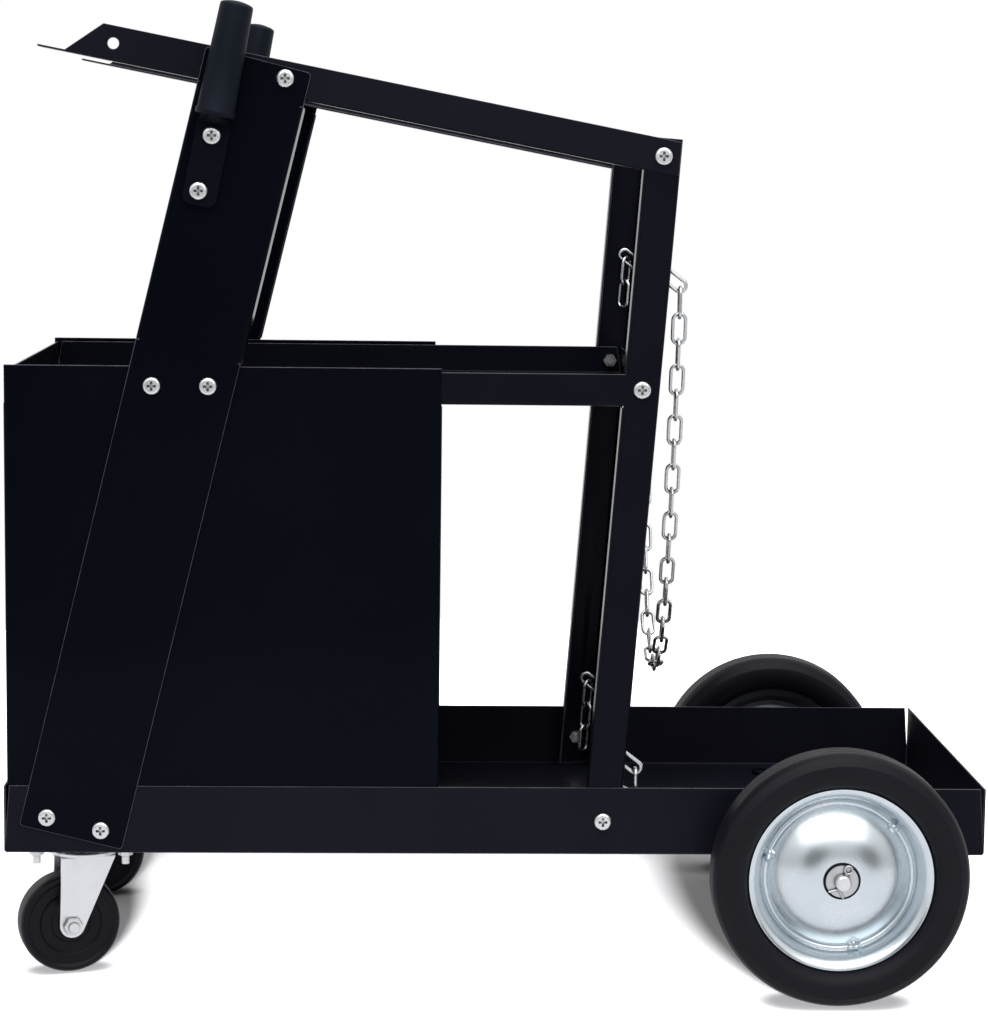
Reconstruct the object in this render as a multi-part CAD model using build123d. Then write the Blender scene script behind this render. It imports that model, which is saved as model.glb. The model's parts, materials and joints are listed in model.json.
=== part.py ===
from build123d import *
import math
import os

# Welding trolley
# Millimetres and degrees. X runs from the operator's end (minus) to the bottle end (plus), the
# operator's right-hand side is minus Y, and the wheels stand on Z = 0.

# Folded sheet
SHEET = 1.5                    # thickness of every folded sheet
BEND = 1.5                     # inside radius of every fold
PLATE_CORNER = 3               # rounding of the cut corners
CUT = 1                        # a cutting block reaches this far past the sheet

# Rear wheels and axle, which set the height of the tray
WHEEL_RADIUS = 100
WHEEL_TO_TRAY = 41             # middle of the tyre to the side of the tray
AXLE_DIAMETER = 12
AXLE_FROM_REAR = 121.7         # rear end of the tray to the axle
AXLE_GAP = 0.2                 # between the axle and the underside of the tray
AXLE_END = 24                  # middle of the tyre to the end of the axle
AXLE_CHAMFER = 1

# Base tray
TRAY_LENGTH = 772
TRAY_WIDTH = 328
TRAY_WALL = 54
SLIT_WIDTH = 2.7               # open corner of a pan, at the top of the wall
TRAY_SLIT = 35.6               # depth of the open corner

# Shelf tray
SHELF_HEIGHT = 354.6           # underside of the tray to underside of the shelf
SHELF_LIP = 25
SHELF_SLIT = 16.5              # depth of the open corner
SHELF_FRONT = 5                # front end of the tray to front end of the shelf
SHELF_LENGTH = 499
SHELF_SCREW = 13               # underside of the shelf to its screws

# Side panels
PANEL_FRONT = 2.2              # front end of the tray to front edge of the panel
PANEL_WIDTH = 337
PANEL_RISE = 3                 # panel above the shelf lip
PANEL_FOLD = 13

# Front uprights, measured along and across the leaning plate
UPRIGHT_LEAN = 13.6
UPRIGHT_WIDTH = 82
UPRIGHT_LENGTH = 620
UPRIGHT_FRONT = 51.9           # front end of the tray to the middle of the foot
UPRIGHT_RAISE = 13             # underside of the tray to the middle of the foot
UPRIGHT_FOLD = 16
UPRIGHT_FOLD_OPEN = 5          # the folds stop this much short of square
FOLD_ABOVE_PANEL = 2           # side panel to the lower end of the folds
FOLD_BELOW_RAIL = 1.5          # upper end of the folds to the top rail
FOLD_CORNER = 4
TRAY_SCREW_UP = 11.4           # foot to the tray screws
SCREW_PITCH = 43               # between the two screws of a pair

# Top rails, measured from the screw that holds them to the upright
RAIL_SLOPE = 10.75
RAIL_WEB = 26.5
RAIL_FLANGE = 27
RAIL_SCREW_ACROSS = 22.7       # middle of the upright to the rail screw
RAIL_SCREW_DOWN = 8.8          # top of the upright to the rail screw
RAIL_FRONT = 188               # rail screw to the front tip of the flange
RAIL_WEB_FRONT = 167           # rail screw to the front of the web
RAIL_HOLE_FRONT = 132          # rail screw to the free hole
RAIL_HOLE = 8.5

# Rear posts
POST_LEAN = 4.15
POST_WIDTH = 28
POST_FRONT = 467               # front end of the tray to the middle of the foot
POST_FOLD = 16
POST_ABOVE_RAIL = 14           # rail screw to the top of the post
POST_TRAY_SCREW = 23           # foot to the tray screw
POST_FOOT_GAP = 0.2            # foot to the fold of the tray

# Handles
HANDLE_ACROSS = -20.7          # middle of the upright to the handle screws
HANDLE_SCREW_DOWN = 64         # top of the upright to the upper handle screw
HANDLE_TILT = 2.2              # the handle leans less than the upright by this
TONGUE_WIDTH = 26
TONGUE_THICKNESS = 4
TONGUE_BELOW = 11              # lower screw to the end of the tongue
TONGUE_ABOVE = 8               # upper screw to the neck
HANDLE_BAR_RADIUS = 10
GRIP_START = 15                # upper screw to the lower rim of the grip
GRIP_LENGTH = 87
GRIP_RADIUS = 14.4
GRIP_TOP_RADIUS = 12.7
GRIP_RIM_RADIUS = 15.2
GRIP_DOME = 4.5
GRIP_CAP = 13.5                # end of the bar to the top of the grip
GRIP_GAP = 0.8                 # grip rim to the upright

# Screws and nuts
SCREW = 6
SCREW_HOLE = 6.6
SCREW_HEAD = 13.8
SCREW_HEAD_HEIGHT = 3.8
SCREW_HEAD_ROUND = 2.3
SCREW_END = 2                  # screw beyond the nut
RECESS_LENGTH = 7
RECESS_WIDTH = 1.9
RECESS_DEPTH = 2.2
NUT_ACROSS = 10
NUT_HEIGHT = 5
THREAD_GAP = 0.05

# Pressed rear rims, as radius and distance outwards from the middle of the tyre
RIM_SHEET = 1.2
RIM_BEND = 1
RIM_JOINT = -5                 # where the two halves meet
HUB_RADIUS = 14
OUTER_DOME = 12.5
INNER_DOME = -16
RING_INNER = 55
RING_OUTER = 60
DISC_FULLNESS = 0.73           # share of the dome's height that is left halfway out
DISC_FOOT_IN = 1.5             # ring to the foot of the dome
DISC_FOOT_UP = 1.2             # the foot of the dome stands this far off the ring
OUTER_LIP = 11.5
INNER_LIP = -14.5
OUTER_LIP_DROP = 4             # lip to the top of the steep flare
INNER_LIP_DROP = 3.5
FLARE_RUN = 5.5                # ring to the top of the steep flare
LIP_RADIUS = 71
CRIMP_ANGLES = (44, 164, 284)
CRIMP_SPREAD = 4.5
CRIMP_RADIUS = 2.6
CRIMP_HEIGHT = 2
CRIMP_SUNK = 0.2               # foot of a crimp in the ring
CRIMP_ROUND = 1.2

# Rear tyres
TYRE_WIDTH = 43
TYRE_FOOT = 4                  # rim lip to the foot of the tyre wall
TYRE_FOOT_IN = 5               # side of the tyre to the foot of its wall
TYRE_SIDE = 11                 # rim lip to the flat side
TYRE_SHOULDER = 92
TYRE_STEP = 1                  # step at the shoulder
TREAD_FROM_SIDE = 10           # side of the tyre to the flat tread
TREAD_EDGE = 4.5               # side of the tyre to the break of the tread
TREAD_DROP = 2.5               # break of the tread below the flat tread
TYRE_GAP = 0.15                # between rubber and rim
SEAT_SLANT = 1.4               # room along the radius for room square to the flare
GROOVES = (-9, -3, 3, 9)
GROOVE = 1

# Hub bush, washers, pins and collars of the rear axle
BUSH_GAP = 0.1                 # bush in the rim
AXLE_RUN = 0.05                # bush on the axle
BUSH_OUT = 12.9
BUSH_IN = -17.2
WASHER_RADIUS = 12.6
WASHER = 1.6
SIDE_PLAY = 0.25
PIN = 3
PIN_LEG = 1.4
PIN_BEYOND = 1.5               # axle to the eye and to the spread legs
PIN_LEG_LENGTH = 8
PIN_SPREAD = 50                # each leg is bent out by this
PIN_TURN = 25                  # the split pin leans by this
COLLAR_RADIUS = 10
COLLAR_WIDTH = 8

# Axle brackets
BRACKET_SHEET = 2
BRACKET_WIDTH = 28
BRACKET_FROM_SIDE = 40         # side of the tray to the middle of the bracket
BRACKET_SCREW = 19             # axle to the bracket screws
BRACKET_EAR = 28               # axle to the end of the ear
BRACKET_GAP = 0.1              # axle to the bottom of the bracket
BRACKET_ROOM = 1               # axle to each side of the bracket, beyond that

# Casters
CASTER_FRONT = 57              # front end of the tray to the swivel
CASTER_FROM_SIDE = 49          # side of the tray to the swivel
CASTER_TRAIL = 13
RIGHT_CASTER_YAW = 16.5
LEFT_CASTER_YAW = 4
CASTER_PLATE = (92, 66, 2.5)
CASTER_BOLTS = (70, 46)
CASTER_STUD_END = 14.5         # underside of the tray to the end of the bolts
RACE_GAP = 4.6                 # plate to fork head
BALL = 5
BALL_RING = 20
BALL_COUNT = 16
BALL_GAP = 0.1
KINGPIN = 10
KINGPIN_HEAD = 20
KINGPIN_HEAD_HEIGHT = 3
KINGPIN_FLARE = 2
SWIVEL_GAP = 0.1
FORK_SHEET = 2.5
FORK_INSIDE = 31
FORK_WIDTH = 43
FORK_END = 10
FORK_HEAD_RADIUS = 28
CASTER_RADIUS = 40
CASTER_CORE_RADIUS = 33
CASTER_TREAD_WIDTH = 26
CASTER_TREAD_INSET = 1.5       # side of the tread to its inner edge
CASTER_TREAD_SIDE = 4          # height of the flat side of the tread
CASTER_TREAD_DROP = 1.5        # break of the tread below the running face
CASTER_TREAD_EDGE = 2          # side of the tread to the break
CASTER_TREAD_FLAT = 6          # side of the tread to the running face
CASTER_CORE_WIDTH = 22
CASTER_RIM = 4
CASTER_DRAFT = 1
CASTER_HUB_RADIUS = 11
CASTER_WEB = 9
CASTER_BUSH_RADIUS = 6
CASTER_RUN = 0.08
CASTER_PLAY = 0.5
CASTER_BOLT = 8
CASTER_NUT = (13, 6)

# Chains
WIRE = 2.8
LINK_LENGTH = 26.4
LINK_WIDTH = 12.6
LINK_PLAY = 0.3
UPPER_LINK_COUNT = 35
HOOK_WIRE = 3
HOOK_WIDTH = 9.2               # between the middles of the two legs
HOOK_LENGTH = 22               # between the middles of the two bows
HOOK_SLOPE = 37
HOOK_INWARD = 7                # web of the post to the hook
HOOK_REACH = 8.9               # rear edge of the post to the middle of the rear bow
HOOK_HOLE = 3.8
UPPER_HOOK_HEIGHT = 68.4       # top of the shelf lip to the rear bow of the hook
LOWER_HOOK_HEIGHT = 14.5       # top of the tray wall to the rear bow of the hook
UPPER_TAIL_COUNT = 2
LOWER_TAIL_COUNT = 3
TAIL_ALONG = 16.2              # rear bow to the hanging tail, along the hook
LYING_TURN = 45                # links that lie or hang free stand turned by this
CHAIN_LIFT = 5                 # tray floor to the middle of the lying chain
CHAIN_ASIDE = 70               # right-hand hook to the first run along the tray
CHAIN_BETWEEN = 90             # first run to the run back
CHAIN_REACH = 205              # hooks to the rear end of the slack
CHAIN_LAND = 32                # bends of the lying chain: down to the floor,
CHAIN_SIDE_TURN = 36           # from across to along,
CHAIN_REAR_TURN = 42           # and at the rear end

# Sizes that follow
TRAY_Z = WHEEL_RADIUS + AXLE_DIAMETER / 2 + AXLE_GAP
FLOOR_Z = TRAY_Z + SHEET
TRAY_TOP = TRAY_Z + TRAY_WALL
TRAY_FRONT = -TRAY_LENGTH / 2
SHELF_Z = TRAY_Z + SHELF_HEIGHT
SHELF_TOP = SHELF_Z + SHELF_LIP
PANEL_TOP = SHELF_TOP + PANEL_RISE
UPPER_HOOK_Z = SHELF_TOP + UPPER_HOOK_HEIGHT
LOWER_HOOK_Z = TRAY_TOP + LOWER_HOOK_HEIGHT
AXLE_X = TRAY_LENGTH / 2 - AXLE_FROM_REAR
AXLE_Z = WHEEL_RADIUS
WHEEL_Y = TRAY_WIDTH / 2 + WHEEL_TO_TRAY
PITCH = LINK_LENGTH - 2 * WIRE - LINK_PLAY


def layer(number):
    """Outer face of a sheet on the right-hand side, counted inwards from the upright."""
    return -(TRAY_WIDTH / 2 + SHEET) + number * SHEET


def leaning(x, z, angle):
    """Place a piece that is drawn upright so that it leans in the side view."""
    return Pos(x, 0, z) * Rot(0, angle, 0)


def side_point(place, across, along):
    """X and Z of a point given across and along a leaning piece."""
    point = (place * Pos(across, 0, along)).position
    return point.X, point.Z


def box(x0, x1, y0, y1, z0, z1):
    """Block between six faces."""
    return Pos((x0 + x1) / 2, (y0 + y1) / 2, (z0 + z1) / 2) * Box(x1 - x0, y1 - y0, z1 - z0)


def cross_bore(x, z, diameter):
    """Bore through both sides of the trolley."""
    return Pos(x, 0, z) * Rot(90, 0, 0) * Cylinder(diameter / 2, 2 * TRAY_WIDTH)


def down_bore(x, y, z, diameter):
    """Upright bore through a floor at height z."""
    return Pos(x, y, z) * Cylinder(diameter / 2, 12 * SHEET)


def folded(*points, thickness=SHEET, radius=BEND):
    """Section of a folded sheet from the middle line through the given points."""
    line = FilletPolyline(*points, radius=radius + thickness / 2)
    return trace(line, line_width=thickness)


def channel(width, depth, opening=0):
    """Channel section with its outer face on the X axis and the folds towards plus Y."""
    half = (width - SHEET) / 2
    spread = depth * math.tan(math.radians(opening))
    return folded((-half - spread, depth), (-half, SHEET / 2), (half, SHEET / 2), (half + spread, depth))


def pan(x0, x1, half_width, z0, height, slit):
    """Open folded pan whose corners are slit from the top."""
    outer = box(x0, x1, -half_width, half_width, z0, z0 + height)
    outer = fillet(outer.faces().sort_by(Axis.Z)[0].edges(), SHEET + BEND)
    inner_half = half_width - SHEET
    inner = box(x0 + SHEET, x1 - SHEET, -inner_half, inner_half, z0 + SHEET, z0 + height)
    inner = fillet(inner.faces().sort_by(Axis.Z)[0].edges(), BEND)
    shape = outer - inner
    top = z0 + height
    for end, way in ((x0 + SHEET, 1), (x1 - SHEET, -1)):
        wedge = Polygon(
            (end, top - slit), (end, top), (end + way * SLIT_WIDTH, top), align=None
        )
        shape -= extrude(Plane.XZ * wedge, amount=half_width + CUT, both=True)
    return shape


def turned(points, rounding=0):
    """Solid turned about the Y axis from radius and distance outwards to the right."""
    face = Polygon(*[(radius, -out) for radius, out in points], align=None)
    if rounding:
        face = fillet(face.vertices(), rounding)
    return revolve(face, Axis.Y)


def ring(inner, outer, start, end):
    """Plain turned ring about the Y axis."""
    return turned([(inner, start), (outer, start), (outer, end), (inner, end)])


# Places of the leaning pieces
UPRIGHT_AT = leaning(TRAY_FRONT + UPRIGHT_FRONT, TRAY_Z + UPRIGHT_RAISE, UPRIGHT_LEAN)
POST_FOOT_Z = FLOOR_Z + BEND + math.sin(math.radians(POST_LEAN)) * POST_WIDTH / 2 + POST_FOOT_GAP
POST_AT = leaning(TRAY_FRONT + POST_FRONT, POST_FOOT_Z, POST_LEAN)
RAIL_SCREW = side_point(UPRIGHT_AT, RAIL_SCREW_ACROSS, UPRIGHT_LENGTH - RAIL_SCREW_DOWN)
RAIL_AT = leaning(*RAIL_SCREW, RAIL_SLOPE)
POST_X, POST_Z = side_point(POST_AT, 0, 0)


def post_along(slope, x, z):
    """Distance up the post to where a line through x, z with a downward slope crosses its middle."""
    fall = math.tan(math.radians(slope))
    lean = math.radians(POST_LEAN)
    return (z - POST_Z + fall * (x - POST_X)) / (math.cos(lean) + fall * math.sin(lean))


POST_RAIL_SCREW = post_along(RAIL_SLOPE, *RAIL_SCREW)
POST_SHELF_SCREW = post_along(0, 0, SHELF_Z + SHELF_SCREW)
POST_LENGTH = POST_RAIL_SCREW + POST_ABOVE_RAIL

# Screw positions of one side as X, Z, outer face of the stack and inner face of the stack
SHELF_PAIR_X = side_point(UPRIGHT_AT, 0, 0)[0] + math.tan(math.radians(UPRIGHT_LEAN)) * (
    SHELF_Z + SHELF_SCREW - side_point(UPRIGHT_AT, 0, 0)[1]
)
HANDLE_TOP = UPRIGHT_LENGTH - HANDLE_SCREW_DOWN
TRAY_SCREWS = [side_point(UPRIGHT_AT, way * SCREW_PITCH / 2, TRAY_SCREW_UP) for way in (-1, 1)]
SHELF_SCREWS = [(SHELF_PAIR_X + way * SCREW_PITCH / 2, SHELF_Z + SHELF_SCREW) for way in (-1, 1)]
HANDLE_SCREWS = [side_point(UPRIGHT_AT, HANDLE_ACROSS, HANDLE_TOP - step) for step in (0, SCREW_PITCH)]
POST_RAIL = side_point(POST_AT, 0, POST_RAIL_SCREW)
POST_SHELF = side_point(POST_AT, 0, POST_SHELF_SCREW)
POST_TRAY = side_point(POST_AT, 0, POST_TRAY_SCREW)
STACKS = [(*point, layer(0), layer(3)) for point in TRAY_SCREWS]
STACKS += [(*point, layer(0), layer(4)) for point in SHELF_SCREWS]
STACKS += [(*point, layer(0) - TONGUE_THICKNESS, layer(1)) for point in HANDLE_SCREWS]
STACKS += [(*RAIL_SCREW, layer(0), layer(2))]
STACKS += [(*POST_RAIL, layer(1), layer(3))]
STACKS += [(*POST_SHELF, layer(2), layer(4))]
STACKS += [(*POST_TRAY, layer(1), layer(3))]

# Where the casters and the axle brackets are fastened to the tray floor
CASTER_X = TRAY_FRONT + CASTER_FRONT
CASTER_Y = TRAY_WIDTH / 2 - CASTER_FROM_SIDE
CASTER_PLACES = [
    (CASTER_X + along * CASTER_BOLTS[0] / 2, side * CASTER_Y + across * CASTER_BOLTS[1] / 2)
    for side in (-1, 1)
    for along in (-1, 1)
    for across in (-1, 1)
]
BRACKET_Y = TRAY_WIDTH / 2 - BRACKET_FROM_SIDE
BRACKET_PLACES = [
    (AXLE_X + along * BRACKET_SCREW, side * BRACKET_Y) for side in (-1, 1) for along in (-1, 1)
]


# Folded pieces of the frame
def make_base_tray():
    tray = pan(TRAY_FRONT, -TRAY_FRONT, TRAY_WIDTH / 2, TRAY_Z, TRAY_WALL, TRAY_SLIT)
    for x, z in [*TRAY_SCREWS, POST_TRAY]:
        tray -= cross_bore(x, z, SCREW_HOLE)
    for x, y in [*CASTER_PLACES, *BRACKET_PLACES]:
        tray -= down_bore(x, y, TRAY_Z, SCREW_HOLE)
    return tray


def make_shelf_tray():
    front = TRAY_FRONT + SHELF_FRONT
    shelf = pan(front, front + SHELF_LENGTH, -layer(3), SHELF_Z, SHELF_LIP, SHELF_SLIT)
    for x, z in [*SHELF_SCREWS, POST_SHELF]:
        shelf -= cross_bore(x, z, SCREW_HOLE)
    return shelf


def make_side_panel():
    front = TRAY_FRONT + PANEL_FRONT
    bottom = FLOOR_Z + BEND
    section = Pos(front + PANEL_WIDTH / 2, layer(2)) * channel(PANEL_WIDTH, PANEL_FOLD)
    panel = Pos(0, 0, bottom) * extrude(section, amount=PANEL_TOP - bottom)
    rear = front + PANEL_WIDTH
    panel -= box(front - CUT, rear + CUT, layer(3), layer(3) + PANEL_FOLD, SHELF_Z - SHEET, PANEL_TOP + CUT)
    for x, z in [*TRAY_SCREWS, *SHELF_SCREWS]:
        panel -= cross_bore(x, z, SCREW_HOLE)
    return panel


def upright_fold_ends():
    """Distances up the upright between which its edges are folded: clear of the panel and of the rail."""
    half = UPRIGHT_WIDTH / 2
    lean = math.radians(UPRIGHT_LEAN)
    rise = PANEL_TOP + FOLD_ABOVE_PANEL - UPRIGHT_AT.position.Z
    low = (rise + half * math.sin(lean)) / math.cos(lean)
    turn = math.radians(UPRIGHT_LEAN - RAIL_SLOPE)
    rail_fall = (half + RAIL_SCREW_ACROSS) * math.tan(turn) + RAIL_WEB / 2 / math.cos(turn)
    return low, UPRIGHT_LENGTH - RAIL_SCREW_DOWN - rail_fall - FOLD_BELOW_RAIL


def make_front_upright():
    half = UPRIGHT_WIDTH / 2
    low, high = upright_fold_ends()
    plate = box(-half, half, layer(0), layer(1), 0, UPRIGHT_LENGTH)
    plate = fillet(plate.edges().filter_by(Axis.Y), PLATE_CORNER)
    plate -= box(-half, half, layer(0), layer(1), low, high)
    section = Pos(0, layer(0)) * channel(UPRIGHT_WIDTH, UPRIGHT_FOLD, UPRIGHT_FOLD_OPEN)
    folds = Pos(0, 0, low) * extrude(section, amount=high - low)
    rim = folds.faces().filter_by(Axis.Z, reverse=True).group_by(Axis.Y)[-1].edges()
    folds = fillet([edge for edge in rim if edge.length < 2 * SHEET], FOLD_CORNER)
    upright = UPRIGHT_AT * (plate + folds)
    for x, z in [*TRAY_SCREWS, *SHELF_SCREWS, *HANDLE_SCREWS, RAIL_SCREW]:
        upright -= cross_bore(x, z, SCREW_HOLE)
    return upright


def make_rear_post():
    section = Pos(0, layer(2)) * channel(POST_WIDTH, POST_FOLD)
    post = POST_AT * extrude(section, amount=POST_LENGTH)
    front = POST_SHELF[0] - POST_WIDTH / 2
    notch = 4 * SHEET
    inner = layer(3) + POST_FOLD
    post -= box(front - notch, front + notch, layer(3), inner, SHELF_Z - SHEET, SHELF_TOP + SHEET)
    for x, z in (POST_RAIL, POST_SHELF, POST_TRAY):
        post -= cross_bore(x, z, SCREW_HOLE)
    for height in (UPPER_HOOK_Z, LOWER_HOOK_Z):
        post -= hook_place(height) * chain_hook(HOOK_HOLE)
    return post


def make_top_rail():
    half = RAIL_WEB / 2
    middle = layer(1) + SHEET / 2
    rear = POST_RAIL[0] - RAIL_SCREW[0] + POST_WIDTH
    section = folded(
        (middle, half), (middle, -half + SHEET / 2), (layer(1) + RAIL_FLANGE, -half + SHEET / 2)
    )
    rail = Pos(-RAIL_FRONT, 0, 0) * extrude(Plane.YZ * section, amount=RAIL_FRONT + rear)
    floor = -half + SHEET
    nose = Polygon(
        (-RAIL_FRONT - CUT, floor),
        (-RAIL_WEB_FRONT, floor),
        (-RAIL_WEB_FRONT + RAIL_WEB - SHEET, half),
        (-RAIL_FRONT - CUT, half),
        align=None,
    )
    rail -= Pos(0, layer(1), 0) * extrude(Plane.XZ * nose, amount=RAIL_FLANGE + SHEET, both=True)
    rail = RAIL_AT * rail
    edge = POST_WIDTH / 2
    low, high = POST_RAIL_SCREW - 2 * RAIL_WEB, POST_RAIL_SCREW + 2 * RAIL_WEB
    inside = box(-edge - CUT, 3 * edge, layer(2), layer(2) + 2 * RAIL_FLANGE, low, high)
    behind = box(edge - CUT, 3 * edge, layer(0), layer(2), low, high)
    rail -= POST_AT * inside
    rail -= POST_AT * behind
    for x, z in (RAIL_SCREW, POST_RAIL):
        rail -= cross_bore(x, z, SCREW_HOLE)
    rail -= cross_bore(*side_point(RAIL_AT, -RAIL_HOLE_FRONT, 0), RAIL_HOLE)
    return rail


# Handles, drawn along Z with the upper handle screw at the origin
HANDLE_AT = UPRIGHT_AT * Pos(HANDLE_ACROSS, 0, HANDLE_TOP) * Rot(0, -HANDLE_TILT, 0)
GRIP_AXIS = layer(0) - GRIP_GAP - GRIP_RIM_RADIUS


def make_handle_bar():
    half = TONGUE_WIDTH / 2
    foot = -SCREW_PITCH - TONGUE_BELOW
    tongue = box(-half, half, layer(0) - TONGUE_THICKNESS, layer(0), foot, TONGUE_ABOVE)
    tongue = fillet(tongue.edges().filter_by(Axis.Y).group_by(Axis.Z)[0], half / 2)
    flat = Pos(0, layer(0) - TONGUE_THICKNESS / 2, TONGUE_ABOVE) * Rectangle(TONGUE_WIDTH, TONGUE_THICKNESS)
    round_end = Pos(0, GRIP_AXIS, GRIP_START) * Circle(HANDLE_BAR_RADIUS)
    neck = loft([flat, round_end])
    bar = extrude(round_end, amount=GRIP_LENGTH - GRIP_CAP)
    handle = HANDLE_AT * (tongue + neck + bar)
    for x, z in HANDLE_SCREWS:
        handle -= cross_bore(x, z, SCREW_HOLE)
    return handle


def make_handle_grip():
    rim = 2 * (GRIP_RIM_RADIUS - GRIP_RADIUS)
    shoulder = GRIP_LENGTH - GRIP_DOME
    bore = HANDLE_BAR_RADIUS + THREAD_GAP
    bore_end = GRIP_LENGTH - GRIP_CAP + THREAD_GAP
    outline = Polyline(
        (0, bore_end),
        (bore, bore_end),
        (bore, 0),
        (GRIP_RIM_RADIUS, 0),
        (GRIP_RIM_RADIUS, rim),
        (GRIP_RADIUS, 2 * rim),
        (GRIP_TOP_RADIUS, shoulder),
    )
    crown = TangentArc((0, GRIP_LENGTH), (GRIP_TOP_RADIUS, shoulder), tangent=(1, 0))
    closing = Line((0, GRIP_LENGTH), (0, bore_end))
    face = make_face([*outline.edges(), *crown.edges(), *closing.edges()])
    grip = revolve(Plane.XZ * face, Axis.Z)
    return HANDLE_AT * Pos(0, GRIP_AXIS, GRIP_START) * grip


# Fasteners, drawn along Z with the seat of the head at the origin and the shank downwards
def pan_screw(grip):
    shank = Pos(0, 0, -grip / 2) * Cylinder(SCREW / 2, grip)
    head = Pos(0, 0, SCREW_HEAD_HEIGHT / 2) * Cylinder(SCREW_HEAD / 2, SCREW_HEAD_HEIGHT)
    head = fillet(head.edges().group_by(Axis.Z)[-1], SCREW_HEAD_ROUND)
    for turn in (0, 90):
        slot = Rot(0, 0, turn) * Box(RECESS_LENGTH, RECESS_WIDTH, 2 * RECESS_DEPTH)
        head -= Pos(0, 0, SCREW_HEAD_HEIGHT) * slot
    return shank + head


def hex_nut(across, height, thread):
    body = extrude(RegularPolygon(across / 2, 6, major_radius=False), amount=-height)
    return body - Cylinder(thread / 2 + THREAD_GAP, 3 * height)


def make_side_fasteners():
    """Screws and nuts of the right-hand side."""
    screws = []
    nuts = []
    for x, z, outer, inner in STACKS:
        outward = Pos(x, outer, z) * Rot(90, 0, 0)
        screws.append(outward * pan_screw(inner - outer + NUT_HEIGHT + SCREW_END))
        nuts.append(Pos(x, inner, z) * Rot(90, 0, 0) * hex_nut(NUT_ACROSS, NUT_HEIGHT, SCREW))
    return screws, nuts


def make_floor_fasteners(places, stack, end):
    """Screws with their heads on the tray floor and nuts under a stack of the given height."""
    screws = []
    nuts = []
    for x, y in places:
        screws.append(Pos(x, y, FLOOR_Z) * pan_screw(SHEET + end))
        nuts.append(Pos(x, y, TRAY_Z - stack) * hex_nut(NUT_ACROSS, NUT_HEIGHT, SCREW))
    return screws, nuts


def make_spacer_washers():
    washer = ring(SCREW_HOLE / 2, SCREW_HEAD / 2, -layer(2), -layer(1))
    return [Pos(x, 0, z) * washer for x, z in SHELF_SCREWS]


# Rear axle and wheels, drawn about the Y axis
def wheel_out(distance):
    """Distance from the middle of the trolley of a point outwards from the middle of the tyre."""
    return WHEEL_Y + distance


PIN_OUT = BUSH_OUT + SIDE_PLAY + WASHER + SIDE_PLAY + PIN / 2


def make_rear_axle():
    end = wheel_out(AXLE_END)
    radius = AXLE_DIAMETER / 2
    tip = [(radius, end - AXLE_CHAMFER), (radius - AXLE_CHAMFER, end), (0, end)]
    axle = turned([(across, -out) for across, out in reversed(tip)] + tip)
    for side in (-1, 1):
        hole = Rot(0, PIN_TURN, 0) * Cylinder(PIN / 2 + THREAD_GAP, 2 * AXLE_DIAMETER)
        axle -= Pos(0, side * wheel_out(PIN_OUT), 0) * hole
    return axle


def make_split_pin():
    length = AXLE_DIAMETER + 2 * PIN_BEYOND
    shank = Cylinder(PIN / 2, length)
    eye = Pos(0, 0, length / 2 + PIN) * Rot(90, 0, 0) * Torus(PIN, PIN_LEG / 2)
    pin = shank + eye
    for way in (-1, 1):
        start = Pos(way * PIN_LEG / 2, 0, (PIN_LEG - length) / 2) * Rot(0, 180 - way * PIN_SPREAD, 0)
        pin += start * Pos(0, 0, (PIN_LEG_LENGTH - PIN_LEG) / 2) * Cylinder(PIN_LEG / 2, PIN_LEG_LENGTH)
    return Pos(0, -wheel_out(PIN_OUT), 0) * Rot(0, PIN_TURN, 0) * pin


def make_axle_washers():
    bore = AXLE_DIAMETER / 2 + THREAD_GAP
    outer = wheel_out(BUSH_OUT + SIDE_PLAY)
    inner = wheel_out(BUSH_IN - SIDE_PLAY)
    return [
        ring(bore, WASHER_RADIUS, outer, outer + WASHER),
        ring(bore, WASHER_RADIUS, inner - WASHER, inner),
    ]


def make_axle_collar():
    end = wheel_out(BUSH_IN - 2 * SIDE_PLAY - WASHER)
    return ring(AXLE_DIAMETER / 2 + THREAD_GAP, COLLAR_RADIUS, end - COLLAR_WIDTH, end)


def rim_half(dome, seat, slope_top, lip):
    """Pressed disc with a domed middle, a flat ring at the joint and a flared lip."""
    way = math.copysign(1, dome - seat)
    foot = (RING_INNER - DISC_FOOT_IN, seat + DISC_FOOT_UP * way)
    bulge = ((HUB_RADIUS + RING_INNER) / 2, seat + DISC_FULLNESS * (dome - seat))
    disc = ThreePointArc((HUB_RADIUS + RIM_SHEET / 2, dome), bulge, foot)
    flare = FilletPolyline(
        foot,
        (RING_INNER, seat),
        (RING_OUTER, seat),
        (RING_OUTER + FLARE_RUN, slope_top),
        (LIP_RADIUS, lip),
        radius=RIM_BEND,
    )
    section = trace([*disc.edges(), *flare.edges()], line_width=RIM_SHEET)
    return revolve(mirror(section, about=Plane.XZ), Axis.Y)


OUTER_SEAT = RIM_JOINT + RIM_SHEET / 2
INNER_SEAT = RIM_JOINT - RIM_SHEET / 2
OUTER_SLOPE = OUTER_LIP - OUTER_LIP_DROP
INNER_SLOPE = INNER_LIP + INNER_LIP_DROP


def make_outer_rim():
    rim = rim_half(OUTER_DOME, OUTER_SEAT, OUTER_SLOPE, OUTER_LIP)
    radius = (RING_INNER + RING_OUTER) / 2
    top = OUTER_SEAT + RIM_SHEET / 2
    for middle in CRIMP_ANGLES:
        for angle in (middle - CRIMP_SPREAD, middle + CRIMP_SPREAD):
            bump = Cylinder(CRIMP_RADIUS, CRIMP_HEIGHT)
            bump = fillet(bump.edges().group_by(Axis.Z)[-1], CRIMP_ROUND)
            seat = Pos(radius, CRIMP_SUNK - top - CRIMP_HEIGHT / 2, 0) * Rot(90, 0, 0)
            rim += Rot(0, -angle, 0) * seat * bump
    return rim


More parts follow.
